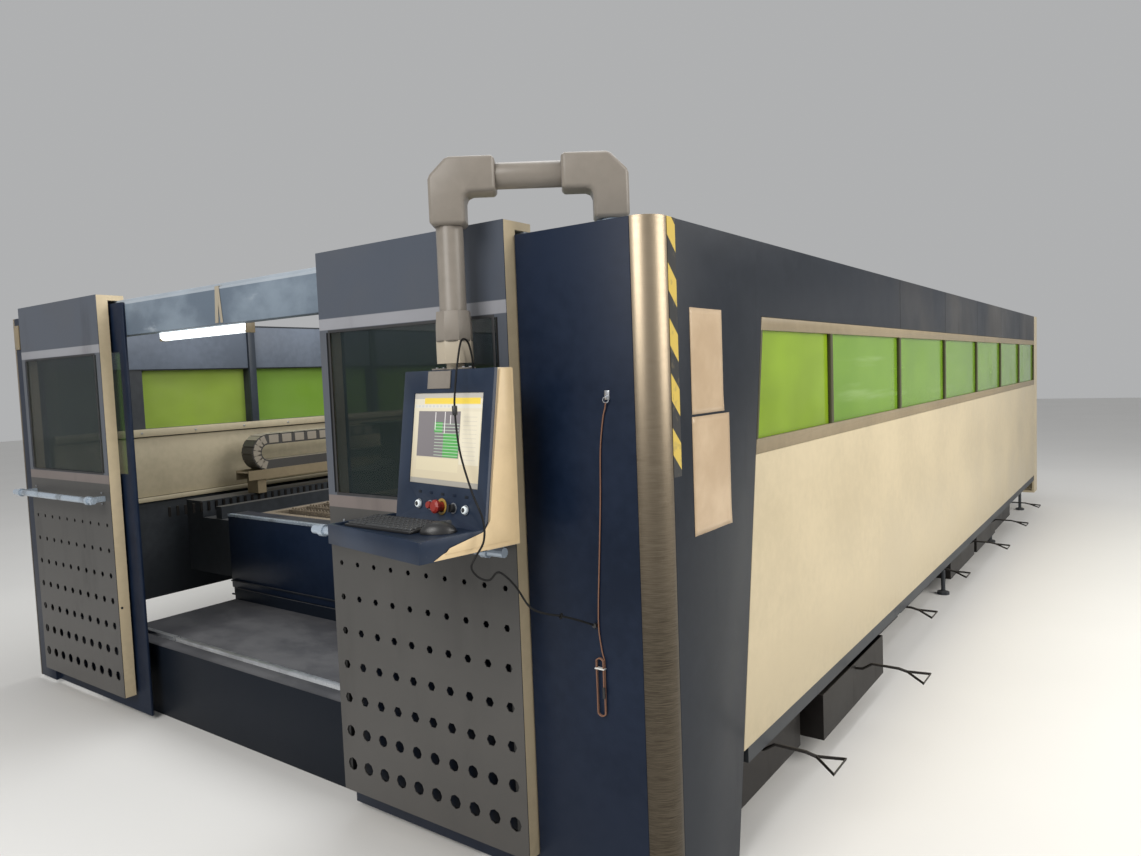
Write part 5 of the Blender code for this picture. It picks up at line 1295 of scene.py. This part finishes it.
# Inside each leaf, below the glass and off its edges, the frame is painted dark as shade.
for word in SIDES:
    low = mark(word + "_door_frame", 0)
    high = mark(word + "_door_frame", 1)
    inside = door_cream.within(door_cream.x, low.x + 0.004, high.x - 0.004)
    below_glass = 1.0 - door_cream.between(door_cream.z, WINDOW_BOTTOM - 0.030, WINDOW_BOTTOM - 0.028)
    off_edges = door_cream.within(door_cream.z, low.z + 0.004, high.z)
    door_cream.tint(inside * below_glass * off_edges, IN_SHADE)
shade_sheet_black = moulded("painted shade sheet", (0.012, 0.012, 0.012), 0.8, 900.0, 0.0004)
rubber = moulded("window gasket", (0.022, 0.022, 0.024), 0.6)
LEAF_STILE = 0.045
LEAF_RAIL = 0.060
LINER_GAP = 0.001
GASKET_INSET = 0.002
GASKET_WIDTH = 0.009


def rectangle_frame(name, low, high, width, chamfer):
    """A flat rectangular frame in an upright plane: both faces of a slab are inset and bridged."""
    piece = slab(name, low, high)
    bpy.ops.object.mode_set(mode="EDIT")
    pick(piece, lambda face: abs(face.normal.y) > 0.9)
    bpy.ops.mesh.inset(thickness=width, use_even_offset=True)
    bpy.ops.mesh.bridge_edge_loops()
    bpy.ops.object.mode_set(mode="OBJECT")
    return chamfered(piece, chamfer)


for word in SIDES:
    low = mark(word + "_door_frame", 0)
    high = mark(word + "_door_frame", 1)
    # A black sheet behind the holes stands in for the shade inside the leaf.
    liner = slab(
        word + "_door_liner",
        at(low.x + LEAF_STILE + LINER_GAP, high.y - 0.010, low.z + LEAF_RAIL + LINER_GAP),
        at(high.x - LEAF_STILE - LINER_GAP, high.y - 0.005, WINDOW_BOTTOM - LEAF_RAIL - LINER_GAP), 0.001,
    )
    placed(liner, shade_sheet_black, word + "_door")
    dress(nodes[word + "_door_frame"], door_cream)
    pane_low = mark(word + "_door_window", 0)
    pane_high = mark(word + "_door_window", 1)
    skin_front = mark(word + "_door_skin", 0).y
    gasket = rectangle_frame(
        word + "_door_gasket",
        at(pane_low.x + GASKET_INSET, skin_front - 0.0016, WINDOW_BOTTOM + GASKET_INSET),
        at(pane_high.x - GASKET_INSET, skin_front - SEAT, WINDOW_TOP - GASKET_INSET), GASKET_WIDTH, 0.0004,
    )
    placed(gasket, rubber, word + "_door")
print("leaves lined and their glass held")

# %% [markdown]
# Small parts finish the leaves: the worn eye on the end of the left handle, the tapped hole in the
# leaf's cream edge as a black disc of painted shade, and the screws that hold each handle's two brackets.

# %% Fit the door hardware
handle_low = mark("left_door_handle", 0)
handle_high = mark("left_door_handle", 1)
handle_z = (handle_low.z + handle_high.z) / 2
eye_spot = at(handle_high.x - 0.016, handle_low.y + 0.015, handle_z)
handle_eye = torus("handle_eye", (0.0130, 0.0045), (36, 14), eye_spot, (math.radians(90.0), 0.0, 0.0))
placed(handle_eye, handle_steel, "left_door")
HOLE_Y = -0.028
HOLE_Z = 0.551
leaf_edge = mark("left_door_frame", 1)
# The hole is a black disc just proud of the edge, as painted shade inside it.
hole_shade_disc = round_bar(
    "leaf_edge_hole_shade", at(leaf_edge.x - 0.004, HOLE_Y, HOLE_Z), at(leaf_edge.x + 0.0006, HOLE_Y, HOLE_Z),
    0.006, 20,
)
placed(chamfered(hole_shade_disc, 0.0004), black_plastic, "left_door")
BRACKET_IN = 0.075
BRACKET_SCREW_UP = 0.026


def facing_front(place):
    """A place whose own axis points out of the machine's front."""
    return Matrix.Translation(place) @ Matrix.Rotation(math.radians(90.0), 4, "X")


for word in SIDES:
    low = mark(word + "_door_handle", 0)
    high = mark(word + "_door_handle", 1)
    skin_front = mark(word + "_door_skin", 0).y
    middle = (low.z + high.z) / 2
    spots = [
        facing_front(at(x, skin_front - SEAT, middle + lift))
        for x in (low.x + BRACKET_IN, high.x - BRACKET_IN) for lift in (-BRACKET_SCREW_UP, BRACKET_SCREW_UP)
    ]
    screws = repeated(word + "_handle_screws", screw_head("screw", 0.0048), spots)
    placed(screws, steel, word + "_door")
print("handle axis at", round(handle_z, 3), "m")

# %% [markdown]
# A strip of hazard tape runs down the end panel beside the corner column. Its stripes slope at 45
# degrees, so one finish reads height plus depth and splits it in two. Its lower end is cut off square.

# %% Lay the hazard tape
TAPE_WIDTH = 0.045
TAPE_START = 0.0745
TAPE_FOOT = 1.298
STRIPE_PITCH = 0.150
tape_finish = Finish("hazard tape", roughness=0.38)
stripe = (tape_finish.z + tape_finish.y) % STRIPE_PITCH
black_part = tape_finish.within(stripe, 0.010, STRIPE_PITCH * 0.5 + 0.010, 0.0015)
rub_and_sheen = tape_finish.between(tape_finish.noise(30.0, 5.0), 0.56, 0.66)
tone = tape_finish.mixed(black_part, (0.58, 0.42, 0.075), (0.020, 0.020, 0.020))
tape_finish.colour(tape_finish.mixed(rub_and_sheen * 0.35, tone, (0.16, 0.13, 0.07)))
tape_finish.relief(tape_finish.noise(90.0, 3.0), 0.0002)
tape = slab(
    "hazard_tape", at(side + 0.0002, TAPE_START, TAPE_FOOT),
    at(side + 0.0007, TAPE_START + TAPE_WIDTH, height - 0.001), 0.0002, 1,
)
placed(tape, tape_finish, "root")
print("tape", round(height - TAPE_FOOT, 3), "m long")

# %% [markdown]
# Two sheets of paper in clear sleeves are stuck to the end panel. They are blank here. Paper is never
# flat: each sheet is a subdivided plate whose corners lift a little and whose middle bulges.

# %% Stick on the two sheets
paper = Finish("sleeved paper", roughness=0.32)
crease = paper.noise(6.0, 4.0)
# The sheet is painted darker where the crease noise is low, as shade in its creases; the same noise raises the
# surface.
paper.colour(paper.mixed(paper.between(crease, 0.35, 0.7), (0.44, 0.32, 0.20), (0.54, 0.41, 0.27)))
paper.relief(crease, 0.003)


def pasted_sheet(name, y_low, y_high, z_low, z_high):
    """A thin sheet on the end panel, gently bulged, its edge held down."""
    deselect()
    bpy.ops.mesh.primitive_grid_add(x_subdivisions=14, y_subdivisions=18, size=1.0)
    sheet = settled(name)
    for vertex in sheet.data.vertices:
        across = vertex.co.x + 0.5
        up = vertex.co.y + 0.5
        bulge = 0.0022 * math.sin(math.pi * across) * math.sin(math.pi * up)
        wave = 0.0008 * math.sin(9.0 * up + 4.0 * across) * math.sin(math.pi * across)
        curl = 0.0020 * max(0.0, across - 0.86) / 0.14 * max(0.0, 0.16 - up) / 0.16
        vertex.co = at(
            side + 0.0010 + bulge + wave + curl, y_low + (y_high - y_low) * across,
            z_low + (z_high - z_low) * up,
        )
    thick = sheet.modifiers.new("thick", "SOLIDIFY")
    thick.thickness = 0.0004
    thick.offset = 0.0
    bpy.ops.object.modifier_apply(modifier=thick.name)
    bpy.ops.object.shade_smooth()
    return placed(sheet, paper, "root")


pasted_sheet("upper_sheet", 0.190, 0.398, 1.465, 1.770)
pasted_sheet("lower_sheet", 0.188, 0.436, 1.113, 1.458)
print("two blank sheets on the end panel")

# %% [markdown]
# The front has a few small fixings: a beige junction cover on the left navy panel, two webbing straps
# round the header beam, and a cable gland where the console's lead goes into the panel.

# %% Add the front fixings
JUNCTION_X = (-1.975, -1.915)
JUNCTION_Z = (1.842, 1.972)
SCREW_IN = 0.008
cover_plate = slab(
    "junction_cover", at(JUNCTION_X[0], -0.0065, JUNCTION_Z[0]),
    at(JUNCTION_X[1], -SEAT, JUNCTION_Z[1]), 0.0015,
)
placed(cover_plate, window_paint, "root")
spots = [
    facing_front(at(x, -0.0067, z))
    for x in (JUNCTION_X[0] + SCREW_IN, JUNCTION_X[1] - SCREW_IN)
    for z in (JUNCTION_Z[0] + SCREW_IN, JUNCTION_Z[1] - SCREW_IN)
]
screws = repeated("junction_screws", screw_head("screw", 0.003, 0.0016, 16), spots)
placed(screws, steel, "root")
beam_low = mark("header_beam", 0)
BEAM_BACK = 0.0950
BEAM_DEEP = 0.171
TRACK_HALF = 0.016
STRAP_GAP = 0.0012
STRAP_THICK = 0.0022
STRAP_X = -0.047
GLAND_X = 1.822
GLAND_Z = 0.872
webbing = moulded("strap webbing", (0.34, 0.30, 0.23), 0.75, 700.0, 0.0005)


def wrapped_strap(name, x, width, lean):
    """A strap round the beam whose ends meet the track on top, so the leaves' hangers clear it."""
    front = beam_low.y - STRAP_GAP
    back = BEAM_BACK + STRAP_GAP
    low = mark("header_beam", 1).z - BEAM_DEEP - STRAP_GAP
    top = height + STRAP_GAP
    middle = (beam_low.y + back) / 2
    corners = (
        (middle - TRACK_HALF, top), (front, top), (front, low), (back, low), (back, top),
        (middle + TRACK_HALF, top),
    )
    mesh = bpy.data.meshes.new(name)
    strap = bpy.data.objects.new(name, mesh)
    bpy.context.scene.collection.objects.link(strap)
    deselect()
    strap.select_set(True)
    bpy.context.view_layer.objects.active = strap
    shape = bmesh.new()
    loops = []
    for y, z in corners:
        shift = lean * (z - low) / (top - low)
        loops.append([shape.verts.new(at(x + shift + half, y, z)) for half in (-width / 2, width / 2)])
    for first, second in zip(loops, loops[1:]):
        shape.faces.new((first[0], first[1], second[1], second[0]))
    bmesh.ops.recalc_face_normals(shape, faces=shape.faces)
    shape.to_mesh(strap.data)
    shape.free()
    thickness = strap.modifiers.new("thick", "SOLIDIFY")
    thickness.thickness = STRAP_THICK
    thickness.offset = 1.0
    bpy.ops.object.modifier_apply(modifier=thickness.name)
    chamfered(strap, 0.0008)
    return placed(strap, webbing, "root")


wrapped_strap("beam_strap_1", STRAP_X - 0.012, 0.024, 0.012)
wrapped_strap("beam_strap_2", STRAP_X + 0.024, 0.018, -0.016)
gland = round_bar(
    "lead_gland", at(GLAND_X, -SEAT, GLAND_Z), at(GLAND_X, -0.0100, GLAND_Z), 0.0075, 6, 0.0008,
)
placed(gland, black_plastic, "root")
print("front fixings done")

# %% [markdown]
# The work light is a lit tube. Its diffuser glows evenly, and two end caps close it.

# %% Light the tube
lamp_low = mark("work_light", 0)
lamp_high = mark("work_light", 1)
lamp_white.set(emission_color=(0.92, 0.98, 1.0, 1.0), emission_strength=2.2)
for number, x in enumerate((lamp_low.x, lamp_high.x)):
    cap = slab(
        "lamp_cap_" + str(number + 1), at(x - 0.006, lamp_low.y + 0.001, lamp_low.z - 0.0015),
        at(x + 0.006, lamp_high.y + 0.0015, lamp_high.z + 0.0015), 0.0012,
    )
    placed(cap, window_paint, "root")
print("tube", round(lamp_high.x - lamp_low.x, 3), "m long")

# %% [markdown]
# Inside, each long wall is lined. Blue-grey sheets close it above the panes, dark posts stand between
# them, and below runs a cream sill on a cream panel, held by screws. The two walls mirror each other.

# %% Line the walls
POST_DEPTH = 0.060
CLAD_DEPTH = 0.021
inner_face = side - CLAD_DEPTH - SEAT - POST_DEPTH
stations = [CLAD_REAR - MULLION_PITCH * step for step in range(PANE_COUNT - 1, 0, -1)]
PANE_TOP = 1.717
SILL_TOP = 1.355
LINING_FRONT = 0.140
POST_HALF = 0.026
SHEET_GAP = 0.004
PANEL_FOOT = 0.935
RAIL_LOW = 0.905
RAIL_TOP = 0.932
SCREW_COUNT = 22
SCREW_PITCH = 0.346
inner_cream = painted("inner cream paint", (0.46, 0.40, 0.28), 0.45, 0.08, 0.4, 0.7)
inner_post = painted("inner post paint", (0.036, 0.046, 0.062), 0.45, 0.12, 0.3, 0.5)


def lining(name, word, along, up, out, chamfer=0.0015):
    """A slab on the inside of a long wall, from its own face inwards."""
    sign = 1.0 if word == "right" else -1.0
    near = sign * (inner_face - out[0])
    far = sign * (inner_face - out[1])
    return slab(
        name, at(min(near, far), along[0], up[0]), at(max(near, far), along[1], up[1]), chamfer,
    )


for word in SIDES:
    sign = 1.0 if word == "right" else -1.0
    edges = [LINING_FRONT - POST_HALF] + stations + [CLAD_REAR - POST_HALF - 0.004]
    for number, (start, end) in enumerate(zip(edges, edges[1:])):
        along = (start + POST_HALF + SHEET_GAP, end - POST_HALF - SHEET_GAP)
        sheet = lining(
            f"{word}_top_sheet_{number + 1}", word, along,
            (PANE_TOP + 0.006, height - 0.012), (SEAT, 0.010),
        )
        placed(sheet, inner_blue, "root")
    for number, station in enumerate(stations):
        post = lining(
            f"{word}_inner_post_{number + 1}", word, (station - POST_HALF, station + POST_HALF),
            (SILL_TOP + 0.001, height - 0.006), (SEAT, 0.022), 0.003,
        )
        placed(post, inner_post, "root")
    full = (LINING_FRONT, CLAD_REAR - POST_HALF)
    sill = lining(word + "_inner_sill", word, full, (SILL_TOP - 0.046, SILL_TOP), (SEAT, 0.040), 0.004)
    panel = lining(word + "_inner_panel", word, full, (PANEL_FOOT, SILL_TOP - 0.052), (SEAT, 0.012), 0.002)
    rail = lining(word + "_inner_rail", word, full, (RAIL_LOW, RAIL_TOP), (SEAT, 0.030), 0.003)
    for piece in (sill, panel, rail):
        placed(piece, inner_cream, "root")
    turn = Matrix.Rotation(math.radians(-90.0 * sign), 4, "Y")
    spots = []
    for number in range(SCREW_COUNT):
        y = LINING_FRONT + 0.14 + SCREW_PITCH * number
        spots.append(Matrix.Translation(at(sign * (inner_face - 0.0402), y, SILL_TOP - 0.023)) @ turn)
    screws = repeated(word + "_sill_screws", screw_head("screw", 0.0065, 0.004, 12), spots)
    placed(screws, steel, "root")
print(len(stations), "posts on each wall, lining face at", round(inner_face, 3), "m")

# %% [markdown]
# The bed's front cover has a pale capping along its top and two pressed ledges below. The step in front
# of it is trimmed with a bright angle, which boots have worn to bare metal.

# %% Cap the cover and the step
cover_low = mark("bed_front_cover", 0)
cover_high = mark("bed_front_cover", 1)
step_low = mark("front_step", 0)
step_high = mark("front_step", 1)
capping = slab(
    "cover_capping", at(cover_low.x + 0.002, cover_low.y - 0.003, cover_high.z - 0.012),
    at(cover_high.x - 0.002, cover_low.y + 0.026, cover_high.z + 0.0025), 0.001,
)
placed(capping, handle_steel, "root")
LEDGE_HEIGHTS = (0.452, 0.372)
for number, z in enumerate(LEDGE_HEIGHTS):
    ledge = slab(
        "cover_ledge_" + str(number + 1), at(cover_low.x + 0.004, cover_low.y - 0.010, z - 0.004),
        at(cover_high.x - 0.004, cover_low.y - SEAT, z + 0.004), 0.002,
    )
    placed(ledge, slate_paint, "root")
nosing = slab(
    "step_nosing", at(step_low.x + 0.001, step_low.y - 0.0018, step_high.z - 0.016),
    at(step_high.x - 0.001, step_low.y + 0.022, step_high.z + 0.0016), 0.0006,
)
placed(nosing, steel, "root")
print("step top at", round(step_high.z, 3), "m, cover top at", round(cover_high.z, 3), "m")

# %% [markdown]
# Slats in a cutting bed have saw-toothed tops, so that a sheet rests on points. One toothed strip is cut
# from a single outline and copied to each of the pallet's own slats, which carry it.

# %% Cut the slat teeth
SLAT_COUNT = 48
SLAT_WIDTH = 0.022
PALLET_RAIL = 0.06
TOOTH_PITCH = 0.030
TOOTH_HEIGHT = 0.014
pallet_low = mark("pallet", 0)
pallet_high = mark("pallet", 1)
slat_pitch = (pallet_high.y - pallet_low.y - 2 * PALLET_RAIL + SLAT_WIDTH) / SLAT_COUNT
reach = pallet_high.x - PALLET_RAIL - 0.010
teeth = int(2 * reach / TOOTH_PITCH)
zigzag = [(-reach, -0.002), (-reach, 0.001)]
for number in range(teeth):
    left = -reach + TOOTH_PITCH * number
    zigzag += [(left + TOOTH_PITCH * 0.5, TOOTH_HEIGHT), (left + TOOTH_PITCH * 0.92, 0.001)]
zigzag += [(reach, 0.001), (reach, -0.002)]
upright_axes = Matrix(((1, 0, 0, 0), (0, 0, 1, 0), (0, 1, 0, 0), (0, 0, 0, 1)))
strip = plate("slat_strip", zigzag, upright_axes, 0.003)
spots = []
for number in range(1, SLAT_COUNT):
    y = pallet_low.y + PALLET_RAIL + slat_pitch * number - SLAT_WIDTH / 2 - 0.0015
    spots.append(Matrix.Translation(at(0.0, y, pallet_high.z + 0.0005)))
placed(repeated("slat_teeth", strip, spots), slat_steel, "pallet")
print(teeth, "teeth on each of", len(spots), "slats")

# %% [markdown]
# The energy chain carries cables to the gantry in plastic links. Each link has a side plate with a
# raised cheek, and its upper side catches the dust. One cheek is modelled and set along both sides of
# the chain's top run and, half as long, round its bend. The dust is painted on the faces that look up.

# %% Detail the energy chain
CHAIN_LINK = 0.10
CHAIN_RADIUS = 0.085
CHAIN_BEND_Y = 1.285
CHAIN_BEND_Z = 1.160
chain_low = mark("energy_chain", 0)
chain_high = mark("energy_chain", 1)
RUN_LINKS = 11
BEND_STEPS = 8


def cheek_pair(y, z, tilt):
    """The places of one link's two cheeks, on either side of the chain."""
    return [
        Matrix.Translation(at(x + sign * SEAT, y, z)) @ tilt
        @ Matrix.Rotation(math.radians(90.0) * sign, 4, "Y")
        for x, sign in ((chain_high.x, 1.0), (chain_low.x, -1.0))
    ]


cheek_places = []
for number in range(RUN_LINKS):
    y = CHAIN_BEND_Y + CHAIN_LINK * (number + 0.44)
    cheek_places += cheek_pair(y, CHAIN_BEND_Z + CHAIN_RADIUS, Matrix.Identity(4))
half_long = Matrix.Scale(0.5, 4, (0, 1, 0))
for number in range(1, BEND_STEPS):
    angle = math.radians(-90.0 - 180.0 * number / BEND_STEPS)
    y = CHAIN_BEND_Y + CHAIN_RADIUS * math.cos(angle)
    z = CHAIN_BEND_Z + CHAIN_RADIUS * math.sin(angle)
    pair = cheek_pair(y, z, Matrix.Rotation(angle + math.radians(90.0), 4, "X"))
    cheek_places += [place @ half_long for place in pair]
cheek = slab("cheek", (-0.026, -0.036, 0.0), (0.026, 0.036, 0.0035), 0.0015, 1)
chain_plastic.tint(chain_plastic.upward() * 0.9, (0.34, 0.30, 0.235))
placed(repeated("chain_cheeks", cheek, cheek_places), chain_top, "root")
print(len(cheek_places), "cheeks on the chain")

# %% [markdown]
# On each side of the bed a ribbed strip covers the gantry's rack. It is dark, with close upright ribs, so
# one rib is modelled and copied along both strips.

# %% Rib the rack cover
rib = slab("rib", (-0.003, -0.008, 0.0), (0.003, 0.008, 0.058), 0.001, 1)
RACK_COVER_X = 1.655
RIB_FOOT = 0.838
RIB_COUNT = 140
RIB_START = 0.62
RIB_PITCH = 0.050
spots = []
for sign in (-1.0, 1.0):
    for number in range(RIB_COUNT):
        spots.append(Matrix.Translation(at(sign * RACK_COVER_X, RIB_START + RIB_PITCH * number, RIB_FOOT)))
placed(repeated("rack_cover_ribs", rib, spots), rod_steel, "root")
print(len(spots), "ribs")

# %% [markdown]
# The machine stands on a plain pale floor under soft studio light: one large lamp high in front, one
# beside the long right wall, one overhead, and a little light from all round so that no side is black.

# %% Set the floor and the lights
deselect()
bpy.ops.mesh.primitive_plane_add(size=60.0, location=(0.0, 0.0, -0.001))
floor = settled("floor")
floor_finish = Finish("floor", roughness=0.6)
floor_tone = floor_finish.noise(0.6, 3.0)
floor_finish.colour(floor_finish.mixed(floor_tone, (0.70, 0.69, 0.67), (0.76, 0.75, 0.73)))
dress(floor, floor_finish)


def soft_lamp(name, place, target, size, power, colour):
    """A square area lamp that faces a place."""
    data = bpy.data.lights.new(name, "AREA")
    data.energy = power
    data.color = colour
    data.size = size
    lamp = bpy.data.objects.new(name, data)
    lamp.location = place
    aim = Vector(target) - Vector(place)
    lamp.rotation_euler = aim.to_track_quat("-Z", "Y").to_euler()
    bpy.context.scene.collection.objects.link(lamp)
    return lamp


soft_lamp("key", at(1.5, -6.0, 5.5), at(0.0, 1.0, 0.8), 4.0, 400.0, (1.0, 0.98, 0.95))
soft_lamp("side", at(8.0, 3.0, 4.5), at(1.5, 3.0, 0.8), 5.0, 470.0, (1.0, 0.97, 0.92))
soft_lamp("over", at(0.0, 4.0, 7.0), at(0.0, 4.0, 0.0), 6.0, 330.0, (0.97, 0.99, 1.0))
world = bpy.data.worlds.new("studio")
bpy.context.scene.world = world
world.use_nodes = True
backdrop = world.node_tree.nodes["Background"]
backdrop.inputs["Color"].default_value = (0.86, 0.87, 0.88, 1.0)
backdrop.inputs["Strength"].default_value = 0.50
bpy.context.scene.view_settings.view_transform = "Standard"
